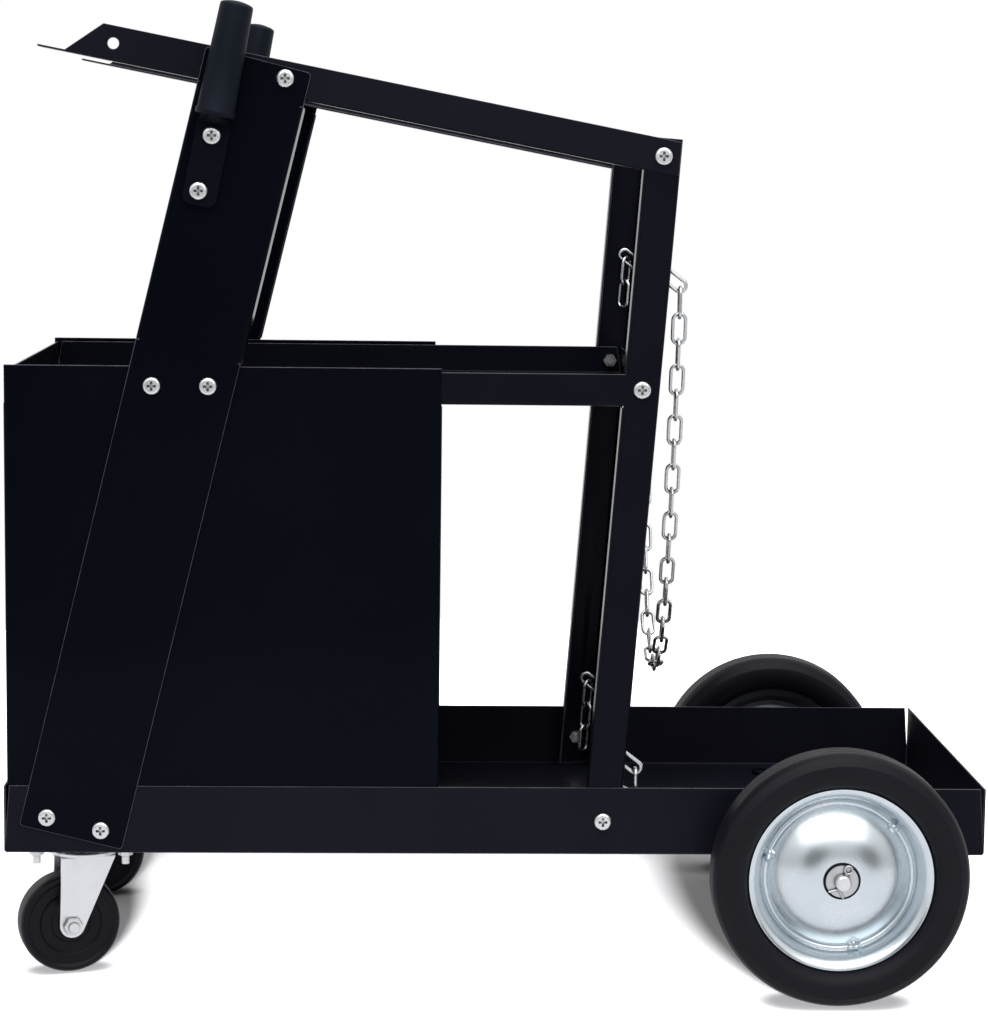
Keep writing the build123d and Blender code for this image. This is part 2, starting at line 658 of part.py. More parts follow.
def make_inner_rim():
    return rim_half(INNER_DOME, INNER_SEAT, INNER_SLOPE, INNER_LIP)


def make_tyre():
    gap = RIM_SHEET / 2 + TYRE_GAP
    room = SEAT_SLANT * gap
    half = TYRE_WIDTH / 2
    side = [
        (LIP_RADIUS + TYRE_FOOT, half - TYRE_FOOT_IN),
        (LIP_RADIUS + TYRE_SIDE, half),
        (TYRE_SHOULDER, half),
        (TYRE_SHOULDER + TYRE_STEP, half - TYRE_STEP),
        (WHEEL_RADIUS - TREAD_DROP, half - TREAD_EDGE),
        (WHEEL_RADIUS, half - TREAD_FROM_SIDE),
    ]
    points = [
        (RING_OUTER + room, RIM_JOINT),
        (RING_OUTER + FLARE_RUN + room, OUTER_SLOPE - gap),
        (LIP_RADIUS + room, OUTER_LIP - gap),
        *side,
    ]
    for groove in sorted(GROOVES, reverse=True):
        points += [
            (WHEEL_RADIUS, groove + GROOVE / 2),
            (WHEEL_RADIUS - GROOVE, groove + GROOVE / 2),
            (WHEEL_RADIUS - GROOVE, groove - GROOVE / 2),
            (WHEEL_RADIUS, groove - GROOVE / 2),
        ]
    points += [(radius, -out) for radius, out in reversed(side)]
    points += [
        (LIP_RADIUS + room, INNER_LIP + gap),
        (RING_OUTER + FLARE_RUN + room, INNER_SLOPE + gap),
    ]
    return turned(points)


def make_wheel_bush():
    return ring(AXLE_DIAMETER / 2 + AXLE_RUN, HUB_RADIUS - BUSH_GAP, BUSH_IN, BUSH_OUT)


def at_axle(shape, out=0):
    """Move a turned piece from the origin to the axle, outwards to the right-hand wheel if asked."""
    return Pos(AXLE_X, -out, AXLE_Z) * shape


def make_axle_bracket():
    low = AXLE_DIAMETER / 2 + BRACKET_GAP + BRACKET_SHEET / 2
    half = low + BRACKET_ROOM
    ear = TRAY_Z - BRACKET_SHEET / 2 - AXLE_Z
    section = folded(
        (-BRACKET_EAR, ear),
        (-half, ear),
        (-half, -low),
        (half, -low),
        (half, ear),
        (BRACKET_EAR, ear),
        thickness=BRACKET_SHEET,
    )
    strap = Pos(0, -BRACKET_Y, 0) * extrude(Plane.XZ * section, amount=BRACKET_WIDTH / 2, both=True)
    strap = at_axle(strap)
    for way in (-1, 1):
        strap -= down_bore(AXLE_X + way * BRACKET_SCREW, -BRACKET_Y, TRAY_Z, SCREW_HOLE)
    return strap


# Casters, drawn about the swivel axis with the tread on Z = 0 and the wheel trailing towards minus X
PLATE_Z = TRAY_Z - CASTER_PLATE[2]
HEAD_TOP = PLATE_Z - RACE_GAP
HEAD_Z = HEAD_TOP - FORK_SHEET
BALL_Z = (PLATE_Z + HEAD_TOP) / 2


def ball_race():
    return Pos(0, 0, BALL_Z) * Torus(BALL_RING, BALL / 2 + BALL_GAP)


def caster_kingpin(gap=0):
    """Rivet with a flared top, or the room that it needs."""
    radius = KINGPIN / 2 + gap
    flare = radius + KINGPIN_FLARE
    head_top = HEAD_Z - 3 * SWIVEL_GAP
    outline = Polygon(
        (0, head_top - KINGPIN_HEAD_HEIGHT),
        (KINGPIN_HEAD / 2, head_top - KINGPIN_HEAD_HEIGHT),
        (KINGPIN_HEAD / 2, head_top),
        (radius, head_top),
        (radius, TRAY_Z - KINGPIN_FLARE),
        (flare, TRAY_Z),
        (0, TRAY_Z),
        align=None,
    )
    return revolve(Plane.XZ * outline, Axis.Z)


def make_caster_plate():
    length, width, thickness = CASTER_PLATE
    plate = box(-length / 2, length / 2, -width / 2, width / 2, PLATE_Z, TRAY_Z)
    plate = fillet(plate.edges().filter_by(Axis.Z), 2 * PLATE_CORNER)
    for along in (-1, 1):
        for across in (-1, 1):
            plate -= down_bore(along * CASTER_BOLTS[0] / 2, across * CASTER_BOLTS[1] / 2, TRAY_Z, SCREW_HOLE)
    return plate - caster_kingpin(THREAD_GAP) - ball_race()


def make_caster_balls():
    balls = []
    for number in range(BALL_COUNT):
        balls.append(Rot(0, 0, 360 * number / BALL_COUNT) * Pos(BALL_RING, 0, BALL_Z) * Sphere(BALL / 2))
    return balls


def make_caster_fork():
    side = FORK_INSIDE / 2 + FORK_SHEET / 2
    top = HEAD_Z + FORK_SHEET / 2
    low = CASTER_RADIUS - FORK_END
    section = folded(
        (-side, low), (-side, top), (side, top), (side, low), thickness=FORK_SHEET, radius=FORK_SHEET
    )
    legs = extrude(Plane.YZ * section, amount=FORK_WIDTH, both=True)
    end = Pos(-CASTER_TRAIL, CASTER_RADIUS) * Circle(FORK_END)
    shoulder = Pos(0, HEAD_TOP - FORK_SHEET) * Rectangle(FORK_WIDTH, 2 * FORK_SHEET)
    outline = make_hull([*end.edges(), *shoulder.edges()])
    legs &= extrude(Plane.XZ * outline, amount=FORK_INSIDE, both=True)
    head = Pos(0, 0, HEAD_Z + FORK_SHEET / 2) * Cylinder(FORK_HEAD_RADIUS, FORK_SHEET)
    fork = legs + head
    fork -= Pos(0, 0, HEAD_Z) * Cylinder(KINGPIN / 2 + SWIVEL_GAP, 4 * FORK_SHEET)
    fork -= ball_race()
    fork -= caster_axle(Rot(90, 0, 0) * Cylinder(CASTER_BOLT / 2 + THREAD_GAP, 2 * FORK_INSIDE))
    return fork


def caster_axle(shape):
    """Move a piece that is turned about the Y axis to the caster's axle."""
    return Pos(-CASTER_TRAIL, 0, CASTER_RADIUS) * shape


def make_caster_tread():
    half = CASTER_TREAD_WIDTH / 2
    points = [
        (CASTER_CORE_RADIUS + THREAD_GAP, CASTER_TREAD_INSET - half),
        (CASTER_RADIUS - CASTER_TREAD_SIDE, -half),
        (CASTER_RADIUS - CASTER_TREAD_DROP, CASTER_TREAD_EDGE - half),
        (CASTER_RADIUS, CASTER_TREAD_FLAT - half),
    ]
    points += [(radius, -out) for radius, out in reversed(points)]
    return caster_axle(turned(points))


def make_caster_core():
    bore = CASTER_BUSH_RADIUS + CASTER_RUN
    hub = FORK_INSIDE / 2 - CASTER_PLAY
    web = CASTER_WEB / 2
    rim = CASTER_CORE_WIDTH / 2
    points = [
        (bore, -hub),
        (CASTER_HUB_RADIUS - CASTER_DRAFT, -hub),
        (CASTER_HUB_RADIUS, -web),
        (CASTER_CORE_RADIUS - CASTER_RIM - CASTER_DRAFT, -web),
        (CASTER_CORE_RADIUS - CASTER_RIM, -rim),
        (CASTER_CORE_RADIUS, -rim),
    ]
    points += [(radius, -out) for radius, out in reversed(points)]
    return caster_axle(turned(points))


def make_caster_bush():
    half = FORK_INSIDE / 2
    return caster_axle(ring(CASTER_BOLT / 2 + THREAD_GAP, CASTER_BUSH_RADIUS, -half, half))


def make_caster_axle_bolt():
    across, height = CASTER_NUT
    outside = FORK_INSIDE / 2 + FORK_SHEET
    shank = ring(0, CASTER_BOLT / 2, -outside, outside + height + SCREW_END)
    head = Pos(0, outside, 0) * Rot(90, 0, 0) * hex_head(across, height)
    return caster_axle(shank + head)


def hex_head(across, height):
    return extrude(RegularPolygon(across / 2, 6, major_radius=False), amount=-height)


def make_caster_axle_nut():
    across, height = CASTER_NUT
    outside = FORK_INSIDE / 2 + FORK_SHEET
    return caster_axle(Pos(0, -outside - height, 0) * Rot(90, 0, 0) * hex_nut(across, height, CASTER_BOLT))


def at_caster(shape, side, yaw=0):
    """Move a caster piece to its swivel; the left-hand caster is the mirror of the right-hand one."""
    handed = shape if side < 0 else mirror(shape, about=Plane.XZ)
    return Pos(CASTER_X, side * CASTER_Y, 0) * Rot(0, 0, yaw) * handed


# Chains and their hooks, made of wire rings that lie in the XY plane with the long way along X
def wire_ring(straight, bow, wire):
    """Long ring of round wire; its straight length and bow radius are taken at the middle of the wire."""
    half = straight / 2
    path = Wire(
        [
            Edge.make_line((-half, bow), (half, bow)),
            Edge.make_three_point_arc((half, bow), (half + bow, 0), (half, -bow)),
            Edge.make_line((half, -bow), (-half, -bow)),
            Edge.make_three_point_arc((-half, -bow), (-half - bow, 0), (-half, bow)),
        ]
    )
    return sweep(Plane(origin=(-half, bow, 0), z_dir=(1, 0, 0)) * Circle(wire / 2), path=path)


LINK = wire_ring(LINK_LENGTH - LINK_WIDTH, (LINK_WIDTH - WIRE) / 2, WIRE)
HOOK_TILT = Rot(0, HOOK_SLOPE, 0)


def hook_place(height):
    """Middle of a hook's rear bow at a height above the ground."""
    along = post_along(0, 0, height)
    edge = side_point(POST_AT, POST_WIDTH / 2, along)[0]
    return Pos(edge + HOOK_REACH, layer(3) + HOOK_INWARD, height)


def chain_hook(wire):
    """Long ring that slopes down to the rear, with the middle of its rear bow at the origin."""
    ring_at = HOOK_TILT * Pos(-HOOK_LENGTH / 2, 0, 0) * Rot(90, 0, 0)
    return ring_at * wire_ring(HOOK_LENGTH, HOOK_WIDTH / 2, wire)


def lay_link(middle, way, flat):
    """One link with its long way and the normal of its flat side given."""
    return Plane(origin=middle, x_dir=way, z_dir=flat).location * LINK


def hanging_links(seat, room, count, way, flat):
    """Links that hang from a hook's wire; every other one is turned a quarter."""
    links = []
    down = LINK_LENGTH / 2 - WIRE - room
    for number in range(count):
        turned_flat = flat.rotate(Axis((0, 0, 0), way), 90 * (number % 2))
        links.append(lay_link(seat - way * (down + number * PITCH), way, turned_flat))
    return links


UP = Vector(0, 0, 1)
REARWARDS = Vector(1, 0, 0)
BOW_ROOM = HOOK_WIRE / 2 + 2 * LINK_PLAY       # middle of the hook's wire to the inside of a link in its bow
BOW_HANG = LINK_LENGTH / 2 - WIRE - BOW_ROOM   # middle of the hook's wire to the middle of that link


def bow_seat(height):
    """Lowest point of the wire in a hook's rear bow."""
    return hook_place(height).position - UP * (HOOK_WIDTH / 2)


def make_tail(height, count):
    """Spare links that hang from the lower leg of the left-hand hook, along the post."""
    slope = math.radians(HOOK_SLOPE)
    room = HOOK_WIRE / 2 / math.cos(slope) + WIRE / 2 * math.tan(slope) + 2 * LINK_PLAY
    seat = (hook_place(height) * HOOK_TILT * Pos(-TAIL_ALONG, 0, -HOOK_WIDTH / 2)).position
    way = UP.rotate(Axis.Y, POST_LEAN)
    flat = REARWARDS.rotate(Axis.Y, POST_LEAN).rotate(Axis((0, 0, 0), way), LYING_TURN)
    return [mirror(link, about=Plane.XZ) for link in hanging_links(seat, room, count, way, flat)]


def chain_along(points, flats):
    """Links between successive points, each with its own flat side."""
    links = []
    for start, end, flat in zip(points, points[1:], flats):
        links.append(lay_link((start + end) / 2, (end - start).normalized(), flat))
    return links


def catenary(half_span, half_length):
    """Parameter of the hanging curve with the given half span and half length."""
    low, high = half_span / 20, half_span * 20
    for _ in range(80):
        middle = (low + high) / 2
        if middle * math.sinh(half_span / middle) > half_length:
            low = middle
        else:
            high = middle
    return middle


UPPER_SEAT = bow_seat(UPPER_HOOK_Z)
UPPER_START = UPPER_SEAT - UP * (BOW_HANG + PITCH / 2)


def make_upper_chain():
    half_span = -UPPER_START.Y
    half_length = UPPER_LINK_COUNT * PITCH / 2
    bow = catenary(half_span, half_length)
    rise = bow * math.cosh(half_span / bow)
    points = []
    for number in range(UPPER_LINK_COUNT + 1):
        y = bow * math.asinh((number * PITCH - half_length) / bow)
        points.append(Vector(UPPER_START.X, y, UPPER_START.Z - rise + bow * math.cosh(y / bow)))
    flats = []
    for number in range(UPPER_LINK_COUNT):
        way = (points[number + 1] - points[number]).normalized()
        flats.append(REARWARDS if number % 2 else way.cross(REARWARDS))
    return chain_along(points, flats)


def make_upper_end_links():
    right = hanging_links(UPPER_SEAT, BOW_ROOM, 1, UP, REARWARDS)
    left = [mirror(link, about=Plane.XZ) for link in right]
    return right + left + make_tail(UPPER_HOOK_Z, UPPER_TAIL_COUNT)


def make_lower_chain():
    start = bow_seat(LOWER_HOOK_Z) - UP * (BOW_HANG - PITCH / 2)
    floor = FLOOR_Z + CHAIN_LIFT
    inner = start.Y + CHAIN_ASIDE
    back = inner + CHAIN_BETWEEN
    rear = start.X + CHAIN_REACH
    turns = [CHAIN_LAND, CHAIN_SIDE_TURN, CHAIN_REAR_TURN]
    route = FilletPolyline(
        (start.X, start.Y, start.Z),
        (start.X, start.Y, floor),
        (start.X, inner, floor),
        (rear, inner, floor),
        (rear, back, floor),
        (start.X, back, floor),
        (start.X, -start.Y, floor),
        (start.X, -start.Y, start.Z),
        radius=[*turns, *reversed(turns)],
    )
    count = 2 * math.ceil((route.length / PITCH - 1) / 2) + 1
    points = [route.position_at(number / count) for number in range(count + 1)]
    flats = []
    flat = REARWARDS
    for number in range(count):
        way = (points[number + 1] - points[number]).normalized()
        flat = (flat - way * flat.dot(way)).normalized()
        lying = LYING_TURN * min(1, number / 2, (count - 1 - number) / 2)
        quarter = 90 * (number % 2)
        flats.append(flat.rotate(Axis((0, 0, 0), way), quarter + lying))
    return chain_along(points, flats) + make_tail(LOWER_HOOK_Z, LOWER_TAIL_COUNT)


# Files
os.makedirs("parts", exist_ok=True)


def save(name, *shapes):
    """Write one node, as one solid or as a group of separate solids."""
    solids = [solid for shape in shapes for solid in shape.solids()]
    export_step(solids[0] if len(solids) == 1 else Compound(solids), f"parts/{name}.step")


def save_pair(name, shape):
    """Write the right-hand piece and its mirror on the left."""
    save(f"right_{name}", shape)
    save(f"left_{name}", mirror(shape, about=Plane.XZ))


def both_sides(shapes):
    """The right-hand pieces and their mirrors."""
    return [*shapes, *[mirror(shape, about=Plane.XZ) for shape in shapes]]


save("base_tray", make_base_tray())
save("shelf_tray", make_shelf_tray())
save_pair("side_panel", make_side_panel())
save_pair("front_upright", make_front_upright())
save_pair("rear_post", make_rear_post())
save_pair("top_rail", make_top_rail())
save_pair("handle_bar", make_handle_bar())
save_pair("handle_grip", make_handle_grip())

frame_screws, frame_nuts = make_side_fasteners()
save("frame_screws", *both_sides(frame_screws))
save("frame_nuts", *both_sides(frame_nuts))
save("spacer_washers", *both_sides(make_spacer_washers()))

save("rear_axle", at_axle(make_rear_axle()))
save("axle_split_pins", *both_sides([at_axle(make_split_pin())]))
save("axle_washers", *both_sides([at_axle(washer) for washer in make_axle_washers()]))
save("axle_collars", *both_sides([at_axle(make_axle_collar())]))
save_pair("wheel_outer_rim", at_axle(make_outer_rim(), WHEEL_Y))
save_pair("wheel_inner_rim", at_axle(make_inner_rim(), WHEEL_Y))
save_pair("wheel_tyre", at_axle(make_tyre(), WHEEL_Y))
save_pair("wheel_bush", at_axle(make_wheel_bush(), WHEEL_Y))
save_pair("axle_bracket", make_axle_bracket())
bracket_screws, bracket_nuts = make_floor_fasteners(
    BRACKET_PLACES, BRACKET_SHEET, BRACKET_SHEET + NUT_HEIGHT + SCREW_END
)
save("axle_bracket_screws", *bracket_screws)
save("axle_bracket_nuts", *bracket_nuts)

for hand, side, yaw in (("right", -1, RIGHT_CASTER_YAW), ("left", 1, LEFT_CASTER_YAW)):
    save(f"{hand}_caster_plate", at_caster(make_caster_plate(), side))
    save(f"{hand}_caster_balls", *[at_caster(ball, side) for ball in make_caster_balls()])
    save(f"{hand}_caster_kingpin", at_caster(caster_kingpin(), side))
    save(f"{hand}_caster_fork", at_caster(make_caster_fork(), side, yaw))
    save(f"{hand}_caster_wheel", at_caster(make_caster_core(), side, yaw))
    save(f"{hand}_caster_tread", at_caster(make_caster_tread(), side, yaw))
    save(f"{hand}_caster_bush", at_caster(make_caster_bush(), side, yaw))
    save(f"{hand}_caster_axle_bolt", at_caster(make_caster_axle_bolt(), side, yaw))
    save(f"{hand}_caster_axle_nut", at_caster(make_caster_axle_nut(), side, yaw))
caster_bolts, caster_nuts = make_floor_fasteners(CASTER_PLACES, CASTER_PLATE[2], CASTER_STUD_END)
save("caster_plate_bolts", *caster_bolts)
save("caster_plate_nuts", *caster_nuts)

hooks = [hook_place(height) * chain_hook(HOOK_WIRE) for height in (UPPER_HOOK_Z, LOWER_HOOK_Z)]
save("chain_hooks", *both_sides(hooks))
save("upper_chain_end_links", *make_upper_end_links())
save("upper_chain", *make_upper_chain())
save("lower_chain", *make_lower_chain())
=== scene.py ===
# %% [markdown]
# # A welding trolley
# The real trolley is a cart of folded black sheet: a tray for a gas bottle, a shelf, two sloping rails
# for the machine, large wheels behind and casters in front. Its measured solids come in as a fixed
# frame. They could be rendered as they are, but their cut edges are razor sharp and their curves are
# faceted, so this lesson models again each piece whose roundness or edges the camera can see, and gives
# everything a real finish.

# %% Load the measured frame
import json
import math

import bpy
from mathutils import Euler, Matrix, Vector

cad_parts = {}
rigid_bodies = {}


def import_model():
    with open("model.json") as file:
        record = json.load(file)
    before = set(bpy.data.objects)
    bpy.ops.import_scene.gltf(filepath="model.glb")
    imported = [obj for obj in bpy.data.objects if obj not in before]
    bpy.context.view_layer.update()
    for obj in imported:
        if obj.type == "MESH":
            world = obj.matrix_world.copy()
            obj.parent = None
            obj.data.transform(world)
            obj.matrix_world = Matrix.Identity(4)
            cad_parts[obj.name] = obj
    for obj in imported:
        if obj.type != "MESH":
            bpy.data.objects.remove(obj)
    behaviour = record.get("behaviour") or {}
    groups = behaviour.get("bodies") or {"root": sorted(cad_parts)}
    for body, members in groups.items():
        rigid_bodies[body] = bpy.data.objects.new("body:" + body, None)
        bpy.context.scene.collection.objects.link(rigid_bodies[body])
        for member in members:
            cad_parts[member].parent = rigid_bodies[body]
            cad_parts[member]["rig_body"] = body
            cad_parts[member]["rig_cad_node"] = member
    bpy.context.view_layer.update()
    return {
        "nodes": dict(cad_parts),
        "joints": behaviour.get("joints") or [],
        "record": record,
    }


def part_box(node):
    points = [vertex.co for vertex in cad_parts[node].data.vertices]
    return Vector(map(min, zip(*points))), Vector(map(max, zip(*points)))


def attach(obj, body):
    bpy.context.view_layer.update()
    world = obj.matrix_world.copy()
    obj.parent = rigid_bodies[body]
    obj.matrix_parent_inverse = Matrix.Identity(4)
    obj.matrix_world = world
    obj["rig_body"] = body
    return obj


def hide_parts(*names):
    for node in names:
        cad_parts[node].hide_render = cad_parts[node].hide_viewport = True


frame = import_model()
nodes = frame["nodes"]
joints = {joint["name"]: joint for joint in frame["joints"]}
body_of = {node: body for body, names in frame["record"]["behaviour"]["bodies"].items() for node in names}
slot_of = {part["node"]: part["material_slot"] for part in frame["record"]["subparts"]}
HANDS = ("right", "left")
MM = 0.001

# %% [markdown]
# ## Camera
# The photograph looks at the right-hand side from a little above and a little towards the bottle end,
# with a long lens. A camera could be aimed with a constraint at the middle of the trolley, but then its
# small tilt would be lost. So its place and its three turns are written down as a photographer would
# note them.

# %% Set up the camera
CAMERA_AT = Vector((-0.0855, -2.279, 0.6478))
CAMERA_YAW = math.radians(2.153)
CAMERA_PITCH = math.radians(7.26)
CAMERA_ROLL = math.radians(0.722)
CAMERA_LENS = 96.8
SENSOR = 36

bpy.ops.object.select_all(action="DESELECT")
bpy.ops.object.camera_add(location=CAMERA_AT)
camera = bpy.context.object
camera.name = "camera"
camera.rotation_mode = "QUATERNION"
sideways = Euler((0, 0, -CAMERA_YAW)).to_quaternion()
downwards = Euler((math.pi / 2 - CAMERA_PITCH, 0, 0)).to_quaternion()
rolled = Euler((0, 0, CAMERA_ROLL)).to_quaternion()
camera.rotation_quaternion = sideways @ downwards @ rolled
camera.data.lens = CAMERA_LENS
camera.data.sensor_width = SENSOR
bpy.context.scene.camera = camera
print("camera", round((camera.location - Vector((0, 0, 0.4))).length, 2), "m from the trolley")

# %% [markdown]
# ## Shared surface effects
# Several finishes need the same things: slow clouds of tone, a fine skin of bumps, rings that follow a
# pressed wheel, and further on painted highlights on edges and painted shade in recesses. Each could be
# rebuilt in every material. A shader node group is built once instead, and each material places it with
# its own numbers. The patterns read object coordinates, which are metres here, so each has a real size.


# %% Helpers that wire nodes
def new_group(name, inputs, outputs):
    """Shader group with labelled inputs and outputs, empty but for its two end nodes."""
    group = bpy.data.node_groups.new(name, "ShaderNodeTree")
    for label, kind, value in inputs:
        socket = group.interface.new_socket(label, in_out="INPUT", socket_type=kind)
        socket.default_value = value
    for label, kind in outputs:
        group.interface.new_socket(label, in_out="OUTPUT", socket_type=kind)
    return group, group.nodes.new("NodeGroupInput"), group.nodes.new("NodeGroupOutput")


def add_node(tree, kind, values=None, links=None, **settings):
    """One node with its settings, its constant inputs and its linked inputs."""
    node = tree.nodes.new(kind)
    for name, value in settings.items():
        setattr(node, name, value)
    for name, value in (values or {}).items():
        node.inputs[name].default_value = value
    for name, source in (links or {}).items():
        tree.links.new(source, node.inputs[name])
    return node


def add_math(tree, operation, first, second=None, third=None, clamp=False):
    """Math node whose inputs are numbers or sockets."""
    node = tree.nodes.new("ShaderNodeMath")
    node.operation = operation
    node.use_clamp = clamp
    for index, value in enumerate((first, second, third)):
        if isinstance(value, (int, float)):
            node.inputs[index].default_value = value
        elif value is not None:
            tree.links.new(value, node.inputs[index])
    return node.outputs[0]


def add_ramp(tree, value, low, high, at_low, at_high):
    """Smooth step of a value from one level to another."""
    node = add_node(
        tree, "ShaderNodeMapRange",
        {"From Min": low, "From Max": high, "To Min": at_low, "To Max": at_high},
        {"Value": value}, interpolation_type="SMOOTHSTEP",
    )
    return node.outputs[0]


FLOAT = "NodeSocketFloat"
VECTOR = "NodeSocketVector"
COLOUR = "NodeSocketColor"


# %% Clouds: a slow change of tone
def make_clouds():
    group, ins, outs = new_group(
        "clouds", [("Scale", FLOAT, 20.0), ("Contrast", FLOAT, 1.0)], [("Mask", FLOAT)]
    )
    place = add_node(group, "ShaderNodeTexCoord")
    noise = add_node(
        group, "ShaderNodeTexNoise", {"Detail": 4.0, "Roughness": 0.55},
        {"Vector": place.outputs["Object"], "Scale": ins.outputs["Scale"]},
    )
    centred = add_math(group, "SUBTRACT", noise.outputs["Fac"], 0.5)
    spread = add_math(group, "MULTIPLY_ADD", centred, ins.outputs["Contrast"], 0.5, clamp=True)
    group.links.new(spread, outs.inputs["Mask"])
    return group


clouds = make_clouds()
print("group", clouds.name)


# %% Skin: the fine bumps of powder paint, rubber and plating
def make_skin():
    group, ins, outs = new_group(
        "skin", [("Scale", FLOAT, 900.0), ("Height", FLOAT, 0.0001)], [("Normal", VECTOR)]
    )
    place = add_node(group, "ShaderNodeTexCoord")
    noise = add_node(
        group, "ShaderNodeTexNoise", {"Detail": 2.0, "Roughness": 0.5},
        {"Vector": place.outputs["Object"], "Scale": ins.outputs["Scale"]},
    )
    bump = add_node(
        group, "ShaderNodeBump", {"Strength": 1.0},
        {"Height": noise.outputs["Fac"], "Distance": ins.outputs["Height"]},
    )
    group.links.new(bump.outputs["Normal"], outs.inputs["Normal"])
    return group


skin = make_skin()
print("group", skin.name)


# %% Turned rings: fine tool marks round the Y axis of a pressed wheel
def make_turned_rings():
    group, ins, outs = new_group(
        "turned rings", [("Centre", VECTOR, (0, 0, 0)), ("Scale", FLOAT, 900.0)], [("Mask", FLOAT)]
    )
    place = add_node(group, "ShaderNodeTexCoord")
    offset = add_node(
        group, "ShaderNodeVectorMath", None, {0: place.outputs["Object"], 1: ins.outputs["Centre"]},
        operation="SUBTRACT",
    )
    flat = add_node(
        group, "ShaderNodeVectorMath", {1: (1, 0, 1)}, {0: offset.outputs[0]}, operation="MULTIPLY"
    )
    radius = add_node(group, "ShaderNodeVectorMath", None, {0: flat.outputs[0]}, operation="LENGTH")
    noise = add_node(
        group, "ShaderNodeTexNoise", {"Detail": 3.0, "Roughness": 0.6},
        {"W": radius.outputs["Value"], "Scale": ins.outputs["Scale"]}, noise_dimensions="1D",
    )
    group.links.new(noise.outputs["Fac"], outs.inputs["Mask"])
    return group


turned_rings = make_turned_rings()
print("group", turned_rings.name)

# %% [markdown]
# ## Finishes
# Nearly everything is black or plated. The black is a powder paint, a little blue in daylight, that is
# nearly a hole where it faces the camera and bright where it turns away; the plating is bright zinc
# with cloudy tone; tyres, casters and grips are three different blacks. Each could be one flat colour,
# but then bends and curves would not read, so tone and gloss both vary a little.


# %% A material with clouds, skin and a Principled shader
def new_finish(name, dark, light, gloss, cloud_scale, skin_scale, skin_height, contrast=1.6, **sockets):
    """Material whose colour and roughness run between two ends with the clouds, over a fine skin."""
    material = bpy.data.materials.new(name)
    material.use_nodes = True
    tree = material.node_tree
    shader = tree.nodes["Principled BSDF"]
    for socket, value in sockets.items():
        shader.inputs[socket.replace("_", " ")].default_value = value
    cloud = add_node(tree, "ShaderNodeGroup", node_tree=clouds)
    cloud.inputs["Scale"].default_value = cloud_scale
    cloud.inputs["Contrast"].default_value = contrast
    tone = add_node(tree, "ShaderNodeMix", None, {0: cloud.outputs["Mask"]}, data_type="RGBA")
    tone.inputs[6].default_value = (*dark, 1)
    tone.inputs[7].default_value = (*light, 1)
    tree.links.new(tone.outputs[2], shader.inputs["Base Color"])
    rough = add_node(
        tree, "ShaderNodeMapRange", {"To Min": gloss[0], "To Max": gloss[1]}, {0: cloud.outputs["Mask"]}
    )
    tree.links.new(rough.outputs[0], shader.inputs["Roughness"])
    bumps = add_node(tree, "ShaderNodeGroup", node_tree=skin)
    bumps.inputs["Scale"].default_value = skin_scale
    bumps.inputs["Height"].default_value = skin_height
    tree.links.new(bumps.outputs["Normal"], shader.inputs["Normal"])
    return material


# %% Painted edge highlights: rounded cut edges are painted paler, where they would catch the light
EDGE_MARK = "edge"
PATCH_SCALE = 70.0
PATCH_CONTRAST = 2.0
LEAST_HIGHLIGHT = 0.55


# The marked edges are painted paler in patches: a painted highlight on the rounded edges.
def make_painted_edge_highlights():
    paints = [("Paint", COLOUR, (0, 0, 0, 1)), ("Edge", COLOUR, (0.1, 0.1, 0.1, 1))]
    group, ins, outs = new_group("painted edge highlights", paints, [("Colour", COLOUR)])
    mark = add_node(group, "ShaderNodeAttribute", attribute_name=EDGE_MARK)
    patches = add_node(group, "ShaderNodeGroup", node_tree=clouds)
    patches.inputs["Scale"].default_value = PATCH_SCALE
    patches.inputs["Contrast"].default_value = PATCH_CONTRAST
    highlight_patches = add_ramp(group, patches.outputs["Mask"], 0.1, 0.7, LEAST_HIGHLIGHT, 1.0)
    share = add_math(group, "MULTIPLY", mark.outputs["Fac"], highlight_patches)
    ends = {0: share, 6: ins.outputs["Paint"], 7: ins.outputs["Edge"]}
    tone = add_node(group, "ShaderNodeMix", None, ends, data_type="RGBA")
    group.links.new(tone.outputs[2], outs.inputs["Colour"])
    return group


painted_edge_highlights = make_painted_edge_highlights()


def paint_edge_highlights(material, edge):
    """Paint the edges that are marked on a mesh paler, as a painted highlight."""
    tree = material.node_tree
    shader = tree.nodes["Principled BSDF"]
    highlight_node = add_node(tree, "ShaderNodeGroup", node_tree=painted_edge_highlights)
    highlight_node.inputs["Edge"].default_value = (*edge, 1)
    tree.links.new(shader.inputs["Base Color"].links[0].from_socket, highlight_node.inputs["Paint"])
    tree.links.new(highlight_node.outputs["Colour"], shader.inputs["Base Color"])


print("group", painted_edge_highlights.name)

# %% Black finishes
BLUISH = (0.62, 0.76, 1.0, 1)
VIOLET = (0.80, 0.82, 1.0, 1)
# Pale colour of the painted highlight on rounded edges of the black paints.
EDGE_HIGHLIGHT = (0.075, 0.075, 0.090)
powder_black = new_finish(
    "powder black", (0.0013, 0.0017, 0.0037), (0.0021, 0.0027, 0.0054), (0.08, 0.13), 9, 700, 0.00001,
    Specular_IOR_Level=0.05, Specular_Tint=BLUISH,
)
# Satin copy of the black powder paint: rougher, which is real, and lighter in colour, which is painted
# light on the tray and top rails.
powder_satin_painted_light = new_finish(
    "powder satin painted light", (0.0050, 0.0053, 0.0090), (0.0076, 0.0080, 0.0132), (0.24, 0.32), 9, 700, 0.00002,
    Specular_IOR_Level=0.07, Specular_Tint=VIOLET,
)
